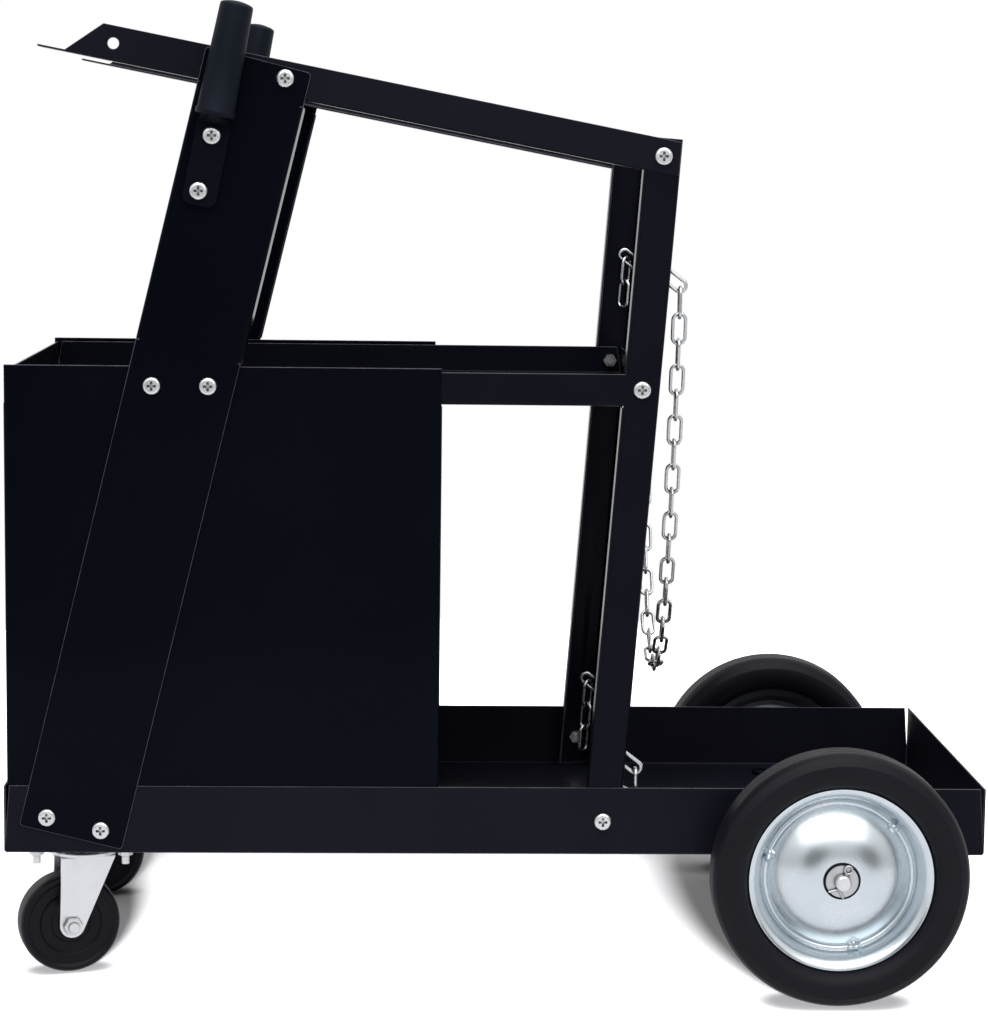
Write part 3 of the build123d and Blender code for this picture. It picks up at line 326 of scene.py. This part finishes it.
# Copy of the black powder paint painted lighter, as painted light on the shelf and rear posts.
powder_painted_lighter = new_finish(
    "powder painted lighter", (0.0030, 0.0033, 0.0060), (0.0046, 0.0050, 0.0088), (0.18, 0.25), 9, 700, 0.00002,
    Specular_IOR_Level=0.07, Specular_Tint=VIOLET,
)
powder_dull = new_finish(
    "powder dull", (0.0024, 0.0029, 0.0054), (0.0036, 0.0043, 0.0076), (0.48, 0.58), 12, 700, 0.00002,
    Specular_IOR_Level=0.03, Specular_Tint=BLUISH,
)
# The black paints get the painted edge highlight.
for paint in (powder_black, powder_satin_painted_light, powder_painted_lighter):
    paint_edge_highlights(paint, EDGE_HIGHLIGHT)
tyre_black = new_finish(
    "tyre black", (0.0040, 0.0040, 0.0070), (0.0066, 0.0066, 0.0106), (0.42, 0.54), 26, 1600, 0.00004,
    Specular_IOR_Level=0.13,
)
caster_black = new_finish(
    "caster black", (0.0030, 0.0029, 0.0052), (0.0052, 0.0050, 0.0082), (0.36, 0.46), 40, 1900, 0.00003,
    Specular_IOR_Level=0.14,
)
grip_black = new_finish(
    "grip black", (0.0024, 0.0032, 0.0058), (0.0042, 0.0052, 0.0084), (0.46, 0.56), 35, 1500, 0.00004,
    Specular_IOR_Level=0.11, Specular_Tint=BLUISH,
)
bush_black = new_finish(
    "bush black", (0.0060, 0.0060, 0.0075), (0.0095, 0.0095, 0.0115), (0.40, 0.50), 60, 1800, 0.00003,
    Specular_IOR_Level=0.2,
)
print("black finishes done")

# %% Recesses: where a cross slot or a joint lets in little light, plating looks dark
RECESS_REACH = 2.5 * MM
RECESS_TONE = 0.12


def make_recesses():
    group, ins, outs = new_group("recesses", [("Reach", FLOAT, 0.002)], [("Mask", FLOAT)])
    openness = add_node(
        group, "ShaderNodeAmbientOcclusion", None, {"Distance": ins.outputs["Reach"]}, samples=8
    )
    brightness = add_ramp(group, openness.outputs["AO"], 0.35, 0.95, RECESS_TONE, 1.0)
    group.links.new(brightness, outs.inputs["Mask"])
    return group


recesses = make_recesses()


def darken_recesses(material, reach):
    """Multiply the colour of a finish by how open its surface is."""
    tree = material.node_tree
    shader = tree.nodes["Principled BSDF"]
    open_part = add_node(tree, "ShaderNodeGroup", node_tree=recesses)
    open_part.inputs["Reach"].default_value = reach
    plain = shader.inputs["Base Color"].links[0].from_socket
    shaded = add_node(
        tree, "ShaderNodeVectorMath", None, {0: plain, 1: open_part.outputs["Mask"]}, operation="MULTIPLY"
    )
    tree.links.new(shaded.outputs[0], shader.inputs["Base Color"])


print("group", recesses.name)


# %% Zinc finishes
def new_zinc(name, dark, light, *surface):
    """Metal finish that darkens in recesses."""
    material = new_finish(name, dark, light, *surface, Metallic=1.0)
    darken_recesses(material, RECESS_REACH)
    return material


zinc_plate = new_zinc(
    "zinc plate", (0.660, 0.670, 0.700), (0.800, 0.805, 0.825), (0.26, 0.40), 60, 900, 0.00003
)
zinc_bright = new_zinc(
    "zinc bright", (0.600, 0.610, 0.625), (0.760, 0.765, 0.775), (0.26, 0.38), 120, 1500, 0.00002
)
zinc_dull = new_zinc(
    "zinc dull", (0.460, 0.470, 0.490), (0.600, 0.610, 0.630), (0.32, 0.44), 90, 1200, 0.00003
)
zinc_wire = new_zinc(
    "zinc wire", (0.440, 0.455, 0.470), (0.640, 0.650, 0.660), (0.22, 0.36), 160, 1500, 0.00003
)
# Near-black copy of the zinc: painted shade on the inner rims, which sit in the shadow of wheel and tray.
zinc_painted_shade = new_zinc(
    "zinc painted shade", (0.050, 0.052, 0.060), (0.085, 0.088, 0.098), (0.38, 0.50), 50, 1200, 0.00003
)
print("zinc finishes done")


# %% Pressed zinc: plating whose gloss follows the rings of the press tool
RING_SCALE = 700
RING_GLOSS = 0.08


def make_pressed_zinc(hand, centre):
    """Zinc finish of one rear rim, with rings about its own axle."""
    material = new_finish(
        f"{hand} pressed zinc", (0.540, 0.600, 0.640), (0.680, 0.725, 0.755), (0.18, 0.25),
        30, 900, 0.00002, Metallic=1.0,
    )
    tree = material.node_tree
    shader = tree.nodes["Principled BSDF"]
    rings = add_node(tree, "ShaderNodeGroup", node_tree=turned_rings)
    rings.inputs["Centre"].default_value = centre
    rings.inputs["Scale"].default_value = RING_SCALE
    cloudy = shader.inputs["Roughness"].links[0].from_socket
    ringed = add_math(tree, "MULTIPLY_ADD", rings.outputs["Mask"], RING_GLOSS, cloudy)
    tree.links.new(ringed, shader.inputs["Roughness"])
    return material


# %% Which finish goes on which slot
FINISHES = {
    "black_powder": powder_black,
    "zinc": zinc_bright,
    "chain_zinc": zinc_wire,
    "tyre_rubber": tyre_black,
    "caster_rubber": caster_black,
    "caster_plastic": caster_black,
    "grip_rubber": grip_black,
    "bush_plastic": bush_black,
}
# Pieces that wear the lighter copies of the black paint, whose lighter colour is painted light.
SATIN_PAINTED_LIGHT_PIECES = ("base_tray", "top_rail")
PAINTED_LIGHTER_PIECES = ("shelf_tray", "rear_post")
ROUGH_PIECES = ("handle_bar",)
PLATED_SHEET = ("caster_plate", "caster_fork")
DULL_PIECES = ("axle_washers", "axle_collars", "axle_split_pins")
# The inner rims wear the painted shade.
PAINTED_SHADE_PIECES = ("wheel_inner_rim",)


def finish_for(node):
    """Finish of a node: its slot's, or for some pieces a satin one painted lighter, a painted-lighter,
    rough, plated, dull or painted-shade one.
    """
    if node.endswith(SATIN_PAINTED_LIGHT_PIECES):
        return powder_satin_painted_light
    if node.endswith(PAINTED_LIGHTER_PIECES):
        return powder_painted_lighter
    if node.endswith(ROUGH_PIECES):
        return powder_dull
    if node.endswith(PLATED_SHEET):
        return zinc_plate
    if node.endswith(DULL_PIECES):
        return zinc_dull
    if node.endswith(PAINTED_SHADE_PIECES):
        return zinc_painted_shade
    return FINISHES[slot_of[node]]


for name, node in nodes.items():
    for slot in node.material_slots:
        slot.material = finish_for(name)
print("finished", len(nodes), "nodes")

# %% [markdown]
# ## Tools for modelling
# Two ways of making pieces come back again and again. Wheels, rims, grips and casters are bodies of
# revolution: a cylinder could be pushed into shape, but a section drawn point by point and spun about
# the axle gives every bead and groove where it belongs. Folded sheet has its place and holes from the
# measured solid already, so a copy of that solid is cleaned and its cut edges are rounded, as the paint
# rounds them. Where a bevel throws a corner out, the corner is put back, so that flat faces stay flat.


# %% Pick a piece, and hand a finished one to the frame
def pick(piece):
    """Make a piece the only one selected, and the active one."""
    bpy.ops.object.select_all(action="DESELECT")
    piece.select_set(True)
    bpy.context.view_layer.objects.active = piece


def stand_for(piece, node, finish):
    """The piece takes the node's place, moves with its body and wears the finish."""
    piece.data.materials.clear()
    piece.data.materials.append(finish)
    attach(piece, body_of[node])
    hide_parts(node)
    return piece


# %% Spin a section into a piece
SPIN_WELD = 0.005 * MM


def lathe(name, outline, steps):
    """Surface turned about the Y axis from (radius, outwards) pairs; outwards is minus Y."""
    bpy.ops.object.select_all(action="DESELECT")
    bpy.ops.mesh.primitive_plane_add(size=MM)
    piece = bpy.context.object
    piece.name = name
    bpy.ops.object.mode_set(mode="EDIT")
    bpy.ops.mesh.merge(type="CENTER")
    points = [Vector((radius, -out, 0)) for radius, out in outline]
    bpy.ops.transform.translate(value=points[0])
    for here, there in zip(points, points[1:]):
        bpy.ops.mesh.extrude_region_move(TRANSFORM_OT_translate={"value": there - here})
    bpy.ops.mesh.select_all(action="SELECT")
    bpy.ops.mesh.spin(steps=steps, angle=2 * math.pi, center=(0, 0, 0), axis=(0, 1, 0))
    bpy.ops.mesh.select_all(action="SELECT")
    bpy.ops.mesh.remove_doubles(threshold=SPIN_WELD)
    bpy.ops.mesh.delete_loose()
    bpy.ops.mesh.select_all(action="SELECT")
    bpy.ops.mesh.normals_make_consistent(inside=False)
    bpy.ops.object.mode_set(mode="OBJECT")
    return piece


def smooth(piece, angle):
    """Smooth shading across edges that bend less than the angle."""
    pick(piece)
    bpy.ops.object.shade_smooth_by_angle(angle=math.radians(angle))


def set_down(piece, at, outwards):
    """Turn the piece so that its outer side faces outwards, move it and bake the place into its mesh."""
    pick(piece)
    piece.rotation_mode = "QUATERNION"
    piece.rotation_quaternion = Vector((0, -1, 0)).rotation_difference(Vector(outwards))
    piece.location = at
    bpy.ops.object.transform_apply(location=True, rotation=True, scale=True)


def middle(node):
    """Middle of a node's box."""
    low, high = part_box(node)
    return (low + high) / 2


def in_mm(*pairs):
    """Section points given in millimetres."""
    return [(radius * MM, out * MM) for radius, out in pairs]


# %% Clean a copy of folded sheet and round its edges
SHEET_WELD = 0.01 * MM
FLAT_ANGLE = math.radians(0.5)
SQUARE_ANGLE = math.radians(60)
EDGE_SEGMENTS = 2
FLAT_WEIGHT = 90
MANY_SIDED = 9
DOUBLED_BACK = math.radians(15)


def put_back(piece, original, reach):
    """Corners that the bevel threw out, where a cut runs into a bend, go back to the measured surface."""
    for vertex in piece.data.vertices:
        found, nearest, _, _ = original.closest_point_on_mesh(vertex.co)
        if found and (vertex.co - nearest).length > reach:
            vertex.co = nearest


def straighten(piece, reach):
    """Where rounded edges cross, an outline doubles back: that corner goes to its nearer neighbour."""
    for face in piece.data.polygons:
        ring = [piece.data.vertices[index] for index in face.vertices]
        if len(ring) < MANY_SIDED:
            continue
        for before, corner, after in zip(ring[-1:] + ring, ring, ring[1:] + ring[:1]):
            back = before.co - corner.co
            ahead = after.co - corner.co
            if 0 < min(back.length, ahead.length) < reach and back.angle(ahead) < DOUBLED_BACK:
                corner.co = before.co if back.length < ahead.length else after.co


def dressed_copy(node, edge):
    """Welded copy of a node with its square edges rounded and marked for a painted highlight."""
    pick(nodes[node])
    bpy.ops.object.duplicate()
    piece = bpy.context.object
    piece.name = f"{node}_dressed"
    piece.parent = None
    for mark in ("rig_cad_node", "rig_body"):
        del piece[mark]
    bpy.ops.mesh.customdata_custom_splitnormals_clear()
    bpy.ops.object.mode_set(mode="EDIT")
    bpy.ops.mesh.select_all(action="SELECT")
    bpy.ops.mesh.remove_doubles(threshold=SHEET_WELD)
    bpy.ops.mesh.dissolve_limited(angle_limit=FLAT_ANGLE)
    bpy.ops.mesh.normals_make_consistent(inside=False)
    bpy.ops.mesh.faces_shade_smooth()
    bpy.ops.object.mode_set(mode="OBJECT")
    bevel = piece.modifiers.new("rounded edges", "BEVEL")
    bevel.limit_method = "ANGLE"
    bevel.angle_limit = SQUARE_ANGLE
    bevel.width = edge * MM
    bevel.segments = EDGE_SEGMENTS
    bevel.use_clamp_overlap = False
    # A spare material slot tells the rounded faces apart until they carry the mark.
    piece.data.materials.append(None)
    bevel.material = 1
    bpy.ops.object.modifier_apply(modifier=bevel.name)
    # The mark says where the painted edge highlight goes.
    edges = piece.data.attributes.new(EDGE_MARK, "FLOAT", "FACE")
    for face, mark in zip(piece.data.polygons, edges.data):
        mark.value = face.material_index
        face.material_index = 0
    put_back(piece, nodes[node], edge / 2 * MM)
    straighten(piece, edge * MM)
    flat = piece.modifiers.new("flat faces", "WEIGHTED_NORMAL")
    flat.weight = FLAT_WEIGHT
    bpy.ops.object.modifier_apply(modifier=flat.name)
    fill = piece.modifiers.new("even fill", "TRIANGULATE")
    fill.min_vertices = 5
    fill.ngon_method = "BEAUTY"
    fill.keep_custom_normals = True
    bpy.ops.object.modifier_apply(modifier=fill.name)
    return piece


# %% [markdown]
# ## Folded sheet
# Trays, panels, uprights, posts and rails are cut from sheet and folded. Boxes with thickness could
# stand for them, but the slit corners, holes and lean angles are all in the measured solids. Each one
# is copied, welded and given rounded edges of about half a millimetre, which catch the light and carry
# a paler painted highlight, and so draw the thin light lines along the trolley.

# %% Round the edges of the sheet pieces
SHEET_EDGE = 0.45
SHEET_PIECES = ["base_tray", "shelf_tray"]
for hand in HANDS:
    for name in ("side_panel", "front_upright", "rear_post", "top_rail", "handle_bar"):
        SHEET_PIECES.append(f"{hand}_{name}")
for node in SHEET_PIECES:
    piece = stand_for(dressed_copy(node, SHEET_EDGE), node, finish_for(node))
    print(piece.name, len(piece.data.polygons), "faces")

# %% Round the edges of the plates, forks and axle brackets
PLATE_EDGE = 0.35
for hand in HANDS:
    for name in ("caster_plate", "caster_fork", "axle_bracket"):
        node = f"{hand}_{name}"
        piece = stand_for(dressed_copy(node, PLATE_EDGE), node, finish_for(node))
        print(piece.name, len(piece.data.polygons), "faces")

# %% [markdown]
# ## Rear wheels
# The tyre is solid rubber with a rounded side, a fine ridge at the shoulder and grooves in the tread.
# The rim is pressed from thin sheet: a domed middle, a bead, and a flare up to the lip that holds the
# rubber. A torus and a scaled ball could suggest them, but the bead and the flare catch the light as
# separate rings, so both are spun from sections, and three pairs of crimps are pulled up out of the bead.

# %% Tyres
WHEEL_STEPS = 180
TREAD_GROOVES = (9, 3, -3, -9)
GROOVE = 1.0
RUBBER_SMOOTH = 50
OUTWARDS = {"right": (0, -1, 0), "left": (0, 1, 0)}


def tyre_outline(radius, half):
    """Closed section of the tyre, in millimetres, from its outer radius and half its width."""
    seat = [(radius - 39, -5), (radius - 33.4, 6.8), (radius - 27.0, 10.8)]
    side = [
        (radius - 26.6, half - 8.4), (radius - 25.0, half - 5.4), (radius - 21.8, half - 2.2),
        (radius - 18.0, half - 0.6), (radius - 13.5, half), (radius - 8.4, half),
        (radius - 7.8, half - 0.2), (radius - 7.4, half - 0.7), (radius - 6.8, half - 1.0),
        (radius - 3.4, half - 3.7), (radius - 2.6, half - 4.4), (radius - 1.9, half - 5.6),
        (radius - 0.3, half - 9.2), (radius, half - 10.4),
    ]
    tread = []
    for groove in TREAD_GROOVES:
        tread += [
            (radius, groove + GROOVE / 2), (radius - GROOVE, groove + GROOVE / 4),
            (radius - GROOVE, groove - GROOVE / 4), (radius, groove - GROOVE / 2),
        ]
    inner_seat = [(radius - 27.0, -13.8), (radius - 33.4, -10.2), seat[0]]
    return seat + side + tread + [(across, -out) for across, out in reversed(side)] + inner_seat


for hand in HANDS:
    node = f"{hand}_wheel_tyre"
    low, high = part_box(node)
    section = tyre_outline((high.z - low.z) / 2 / MM, (high.y - low.y) / 2 / MM)
    tyre = lathe(f"{hand}_tyre_spun", in_mm(*section), WHEEL_STEPS)
    smooth(tyre, RUBBER_SMOOTH)
    set_down(tyre, middle(node), OUTWARDS[hand])
    stand_for(tyre, node, tyre_black)
    print(tyre.name, len(tyre.data.polygons), "faces")

# %% Outer rims
RIM_STEPS = 300
RIM_SHEET = 1.2
RIM_SMOOTH = 28
BEAD_RADIUS = 57.7
CRIMP_ANGLES = (44, 164, 284)
CRIMP_SPREAD = 1.7
CRIMP_HEIGHT = 2.4
CRIMP_REACH = 3.2


def arc_points(first, through, last, count):
    """Points on the parabola through three section points, with the first and the last."""
    points = []
    for step in range(count + 1):
        across = first[0] + (last[0] - first[0]) * step / count
        height = 0
        for one, two, three in ((first, through, last), (through, first, last), (last, first, through)):
            share = (across - two[0]) * (across - three[0]) / (one[0] - two[0]) / (one[0] - three[0])
            height += one[1] * share
        points.append((across, height))
    return points


RIM_SECTION = [
    *arc_points((14.6, 12.5), (35, 8.1), (55.2, -3.9), 22),
    *arc_points((56.0, -4.3), (BEAD_RADIUS, -2.6), (59.4, -4.3), 10),
    (60.0, -4.5), (60.7, -4.2), (61.4, -2.8),
    *arc_points((62.0, -1.2), (64.6, 5.2), (67.4, 9.2), 8),
    (68.8, 10.4), (70.3, 11.2), (71.9, 11.5),
]


def raise_crimp(rim, angle):
    """Pull a small rounded nub up out of the bead."""
    turn = math.radians(angle)
    at = Vector((math.cos(turn), 0, math.sin(turn))) * BEAD_RADIUS * MM
    for vertex in rim.data.vertices:
        vertex.select = (Vector((vertex.co.x, 0, vertex.co.z)) - at).length < MM
    bpy.ops.object.mode_set(mode="EDIT")
    bpy.ops.transform.translate(
        value=(0, -CRIMP_HEIGHT * MM, 0), use_proportional_edit=True, proportional_edit_falloff="SPHERE",
        proportional_size=CRIMP_REACH * MM,
    )
    bpy.ops.mesh.select_all(action="DESELECT")
    bpy.ops.object.mode_set(mode="OBJECT")


def make_rim(hand):
    """Outer half of a rim with its crimps, about the Y axis."""
    rim = lathe(f"{hand}_rim_spun", in_mm(*RIM_SECTION), RIM_STEPS)
    bpy.ops.object.mode_set(mode="EDIT")
    bpy.ops.mesh.select_mode(type="VERT")
    bpy.ops.mesh.select_all(action="DESELECT")
    bpy.ops.object.mode_set(mode="OBJECT")
    for crimp in CRIMP_ANGLES:
        for angle in (crimp - CRIMP_SPREAD, crimp + CRIMP_SPREAD):
            raise_crimp(rim, angle)
    sheet = rim.modifiers.new("sheet", "SOLIDIFY")
    sheet.thickness = RIM_SHEET * MM
    sheet.offset = 0
    bpy.ops.object.modifier_apply(modifier=sheet.name)
    smooth(rim, RIM_SMOOTH)
    return rim


for hand in HANDS:
    node = f"{hand}_wheel_outer_rim"
    centre = middle(f"{hand}_wheel_tyre")
    rim = make_rim(hand)
    set_down(rim, centre, OUTWARDS[hand])
    stand_for(rim, node, make_pressed_zinc(hand, centre))
    print(rim.name, len(rim.data.polygons), "faces")

# %% [markdown]
# ## Casters
# Each caster wheel is a black core with a stepped side and a thin tread. They could stay as measured,
# but their corners are sharp there and real moulded corners shine. So both are spun again with rounded
# corners and set on the axis of their own spin joint.

# %% Caster wheels and treads
CASTER_STEPS = 120
CASTER_SMOOTH = 45


def caster_core_outline(radius, half, bore):
    """Closed section of the core: hub, web, and a rim that the tread sits on."""
    side = [
        (bore, half - 0.2), (bore + 3.6, half), (bore + 8.4, half), (bore + 8.9, half - 0.4),
        (bore + 9.8, half - 1.8), (bore + 10.6, half - 2.2), (radius - 9.8, half - 2.4),
        (radius - 9.0, half - 2.0), (radius - 8.0, half - 0.4), (radius - 7.2, half - 0.1),
        (radius, half),
    ]
    return side + [(across, -out) for across, out in reversed(side)] + side[:1]


def caster_tread_outline(radius, half, seat):
    """Closed section of the tread, round at its shoulders."""
    side = [
        (seat, half - 2.0), (seat + 1.0, half - 1.1), (seat + 2.2, half - 0.3), (seat + 3.2, half),
        (radius - 2.8, half - 0.4), (radius - 1.6, half - 1.4), (radius - 0.7, half - 3.0),
        (radius - 0.2, half - 5.0), (radius, half - 7.0),
    ]
    return side + [(across, -out) for across, out in reversed(side)] + side[:1]


CORE_RADIUS = 33
CORE_HALF = 11
CORE_BORE = 6
TREAD_RADIUS = 40
TREAD_HALF = 13
for hand in HANDS:
    axis = Vector(joints[f"{hand}_caster_spin"]["axis"])
    outwards = axis if axis.y < 0 else -axis
    core_node = f"{hand}_caster_wheel"
    core_section = in_mm(*caster_core_outline(CORE_RADIUS, CORE_HALF, CORE_BORE))
    core = lathe(f"{hand}_caster_core_spun", core_section, CASTER_STEPS)
    smooth(core, CASTER_SMOOTH)
    set_down(core, middle(core_node), outwards)
    stand_for(core, core_node, caster_black)
    tread_node = f"{hand}_caster_tread"
    tread_section = in_mm(*caster_tread_outline(TREAD_RADIUS, TREAD_HALF, CORE_RADIUS))
    tread = lathe(f"{hand}_caster_tread_spun", tread_section, CASTER_STEPS)
    smooth(tread, CASTER_SMOOTH)
    set_down(tread, middle(tread_node), outwards)
    stand_for(tread, tread_node, caster_black)
    print(core.name, tread.name)

# %% [markdown]
# ## Grips
# The handle grips are tapered rubber sleeves with a collar at the lower end and a domed cap. A cone
# would have a hard end, so the sleeve is spun with its collar, its domed cap and the bore that the
# handle bar fills, and then leaned to the angle of the handle.

# %% Spin the grips
GRIP_LEAN = math.radians(11.4)
GRIP_AXIS = Vector((math.sin(GRIP_LEAN), 0, math.cos(GRIP_LEAN)))
GRIP_ACROSS = Vector((math.cos(GRIP_LEAN), 0, -math.sin(GRIP_LEAN)))
GRIP_STEPS = 96
GRIP_BORE = 10.1
GRIP_CAP = 13.4


def grip_outline(length, collar, bore, cap):
    """Closed section of the sleeve: collar, tapered body, domed cap and bore."""
    body = collar - 0.9
    top = collar - 2.6
    return [
        (bore, 0), (collar - 0.8, 0), (collar - 0.2, 0.3), (collar, 1.0), (collar, 3.4),
        (collar - 0.3, 4.2), (body, 5.0), ((body + top) / 2 + 0.1, length / 2),
        (top, length - 4.4), (top - 0.3, length - 3.2),
        (top - 1.2, length - 2.2), (top - 4.0, length - 1.2), (top - 8.0, length - 0.4), (0, length),
        (0, length - cap), (bore, length - cap), (bore, 0),
    ]


for hand in HANDS:
    node = f"{hand}_handle_grip"
    corners = [vertex.co for vertex in nodes[node].data.vertices]
    along = [corner.dot(GRIP_AXIS) for corner in corners]
    across = [corner.dot(GRIP_ACROSS) for corner in corners]
    length = (max(along) - min(along)) / MM
    collar = (max(across) - min(across)) / 2 / MM
    foot = GRIP_AXIS * min(along) + GRIP_ACROSS * (max(across) + min(across)) / 2
    foot.y = middle(node).y
    section = in_mm(*grip_outline(length, collar, GRIP_BORE, GRIP_CAP))
    grip = lathe(f"{hand}_grip_spun", section, GRIP_STEPS)
    smooth(grip, RUBBER_SMOOTH)
    set_down(grip, foot, GRIP_AXIS)
    stand_for(grip, node, grip_black)
    print(grip.name, round(length, 1), "mm long")

# %% [markdown]
# ## Studio
# The photograph is a packshot: white all round, with soft shadows only where the wheels stand. A white
# room would light the black paint grey from every side. So the floor and the world are white for the
# camera only. What mirrors in paint and plating is a grey floor and a room that is bright behind and
# above, a little greyer in front, and dark in two gaps.

# %% Floor
FLOOR_RADIUS = 1.6
SHADOW_REACH = 0.11
CONTACT_REACH = 0.020
CONTACT_TONE = 0.45
OPEN_GLOW = 0.12
FAR_FLOOR = (0.28, 0.45)
FLOOR_SEEN = (0.50, 0.50, 0.51)
FLOOR_ELSEWHERE = (0.36, 0.36, 0.37, 1)
bpy.ops.object.select_all(action="DESELECT")
bpy.ops.mesh.primitive_circle_add(vertices=96, radius=FLOOR_RADIUS, fill_type="NGON", location=(0, 0, 0))
floor = bpy.context.object
floor.name = "floor"

pale = bpy.data.materials.new("pale floor")
pale.use_nodes = True
tree = pale.node_tree
shader = tree.nodes["Principled BSDF"]
shader.inputs["Roughness"].default_value = 0.8
shader.inputs["Specular IOR Level"].default_value = 0.0
shader.inputs["Emission Color"].default_value = (1, 1, 1, 1)
rays = add_node(tree, "ShaderNodeLightPath")
paleness = add_node(tree, "ShaderNodeMix", None, {0: rays.outputs["Is Camera Ray"]}, data_type="RGBA")
paleness.inputs[6].default_value = FLOOR_ELSEWHERE
# Near the wheels the floor's colour for the camera is darkened: a painted contact shadow.
contact = add_node(tree, "ShaderNodeAmbientOcclusion", {"Distance": CONTACT_REACH}, samples=16)
painted_contact_shade = add_ramp(tree, contact.outputs["AO"], 0.45, 0.85, CONTACT_TONE, 1.0)
seen = add_node(tree, "ShaderNodeVectorMath", {0: FLOOR_SEEN}, {1: painted_contact_shade}, operation="MULTIPLY")
tree.links.new(seen.outputs[0], paleness.inputs[7])
tree.links.new(paleness.outputs[2], shader.inputs["Base Color"])
# The floor's glow to the camera fades where the trolley is close, as a painted shadow; far off it glows
# to full white.
openness = add_node(tree, "ShaderNodeAmbientOcclusion", {"Distance": SHADOW_REACH}, samples=16)
near = add_ramp(tree, openness.outputs["AO"], 0.30, 0.92, 0.0, OPEN_GLOW)
place = add_node(tree, "ShaderNodeTexCoord")
spot = add_node(tree, "ShaderNodeSeparateXYZ", None, {0: place.outputs["Object"]})
far = add_ramp(tree, spot.outputs["Y"], *FAR_FLOOR, 0.0, 1.0)
to_camera = add_math(tree, "MAXIMUM", near, far)
camera_part = add_math(tree, "MULTIPLY", rays.outputs["Is Camera Ray"], to_camera)
tree.links.new(camera_part, shader.inputs["Emission Strength"])
floor.data.materials.append(pale)
print("floor", 2 * FLOOR_RADIUS, "m across")

# %% World
ROOM_LIGHT = 0.5
FRONT_TONE = 0.7
GAP_TONE = 0.12
DARK_GAPS = ((-0.25, -0.965, 0.077), (0.55, -0.83, 0.077))
world = bpy.data.worlds.new("studio")
bpy.context.scene.world = world
world.use_nodes = True
tree = world.node_tree
background = tree.nodes["Background"]
background.inputs["Color"].default_value = (1, 1, 1, 1)
place = add_node(tree, "ShaderNodeTexCoord")
towards = add_node(tree, "ShaderNodeSeparateXYZ", None, {0: place.outputs["Generated"]})
behind = add_ramp(tree, towards.outputs["Y"], -0.3, 0.2, 0, 1)
upwards = add_ramp(tree, towards.outputs["Z"], 0.0, 0.4, FRONT_TONE, 1.0)
for gap in DARK_GAPS:
    facing = add_node(
        tree, "ShaderNodeVectorMath", {1: gap}, {0: place.outputs["Generated"]}, operation="DOT_PRODUCT"
    )
    lightness = add_ramp(tree, facing.outputs["Value"], 0.955, 0.995, 1.0, GAP_TONE)
    upwards = add_math(tree, "MULTIPLY", upwards, lightness)
in_mirrors = add_math(tree, "MAXIMUM", behind, upwards)
rays = add_node(tree, "ShaderNodeLightPath")
glossy = add_math(tree, "MAXIMUM", rays.outputs["Is Glossy Ray"], rays.outputs["Is Transmission Ray"])
mirror_part = add_math(tree, "MULTIPLY", glossy, in_mirrors)
seen = add_math(tree, "MAXIMUM", rays.outputs["Is Camera Ray"], glossy)
plain = add_math(tree, "MULTIPLY_ADD", seen, -ROOM_LIGHT, ROOM_LIGHT)
strength = add_math(tree, "ADD", mirror_part, add_math(tree, "ADD", plain, rays.outputs["Is Camera Ray"]))
tree.links.new(strength, background.inputs["Strength"])
print("room light", ROOM_LIGHT)


# %% Soft boxes
def soft_box(name, at, aim_at, width, height, power):
    """Area light that faces a point."""
    bpy.ops.object.select_all(action="DESELECT")
    bpy.ops.object.light_add(type="AREA", location=at)
    light = bpy.context.object
    light.name = name
    light.rotation_mode = "QUATERNION"
    light.rotation_quaternion = (Vector(aim_at) - Vector(at)).to_track_quat("-Z", "Y")
    light.data.shape = "RECTANGLE"
    light.data.size = width
    light.data.size_y = height
    light.data.energy = power


soft_box("top box", (0.1, -0.5, 2.2), (0, 0, 0.2), 1.6, 1.6, 18)
soft_box("front top box", (0.2, -1.6, 2.0), (0.15, 0, 0.2), 3.2, 2.4, 38)
print("two soft boxes")

# %% [markdown]
# The wheels' shadows fall straight back on the white floor. A strong lamp in front could throw them,
# but it would also wash out the black paint, so the lamp that throws them is linked to the floor alone.

# %% Lamp for the floor
FLOOR_LAMP_TILT = math.radians(13)
FLOOR_LAMP_SPREAD = math.radians(6)
FLOOR_LAMP_STRENGTH = 26
bpy.ops.object.select_all(action="DESELECT")
bpy.ops.object.light_add(type="SUN", rotation=(math.pi / 2 - FLOOR_LAMP_TILT, 0, 0))
floor_lamp = bpy.context.object
floor_lamp.name = "floor lamp"
floor_lamp.data.energy = FLOOR_LAMP_STRENGTH
floor_lamp.data.angle = FLOOR_LAMP_SPREAD
only_floor = bpy.data.collections.new("only floor")
only_floor.objects.link(floor)
floor_lamp.light_linking.receiver_collection = only_floor
print("floor lamp", FLOOR_LAMP_STRENGTH)

# %% Colour management and sizes
bpy.context.scene.view_settings.view_transform = "Standard"
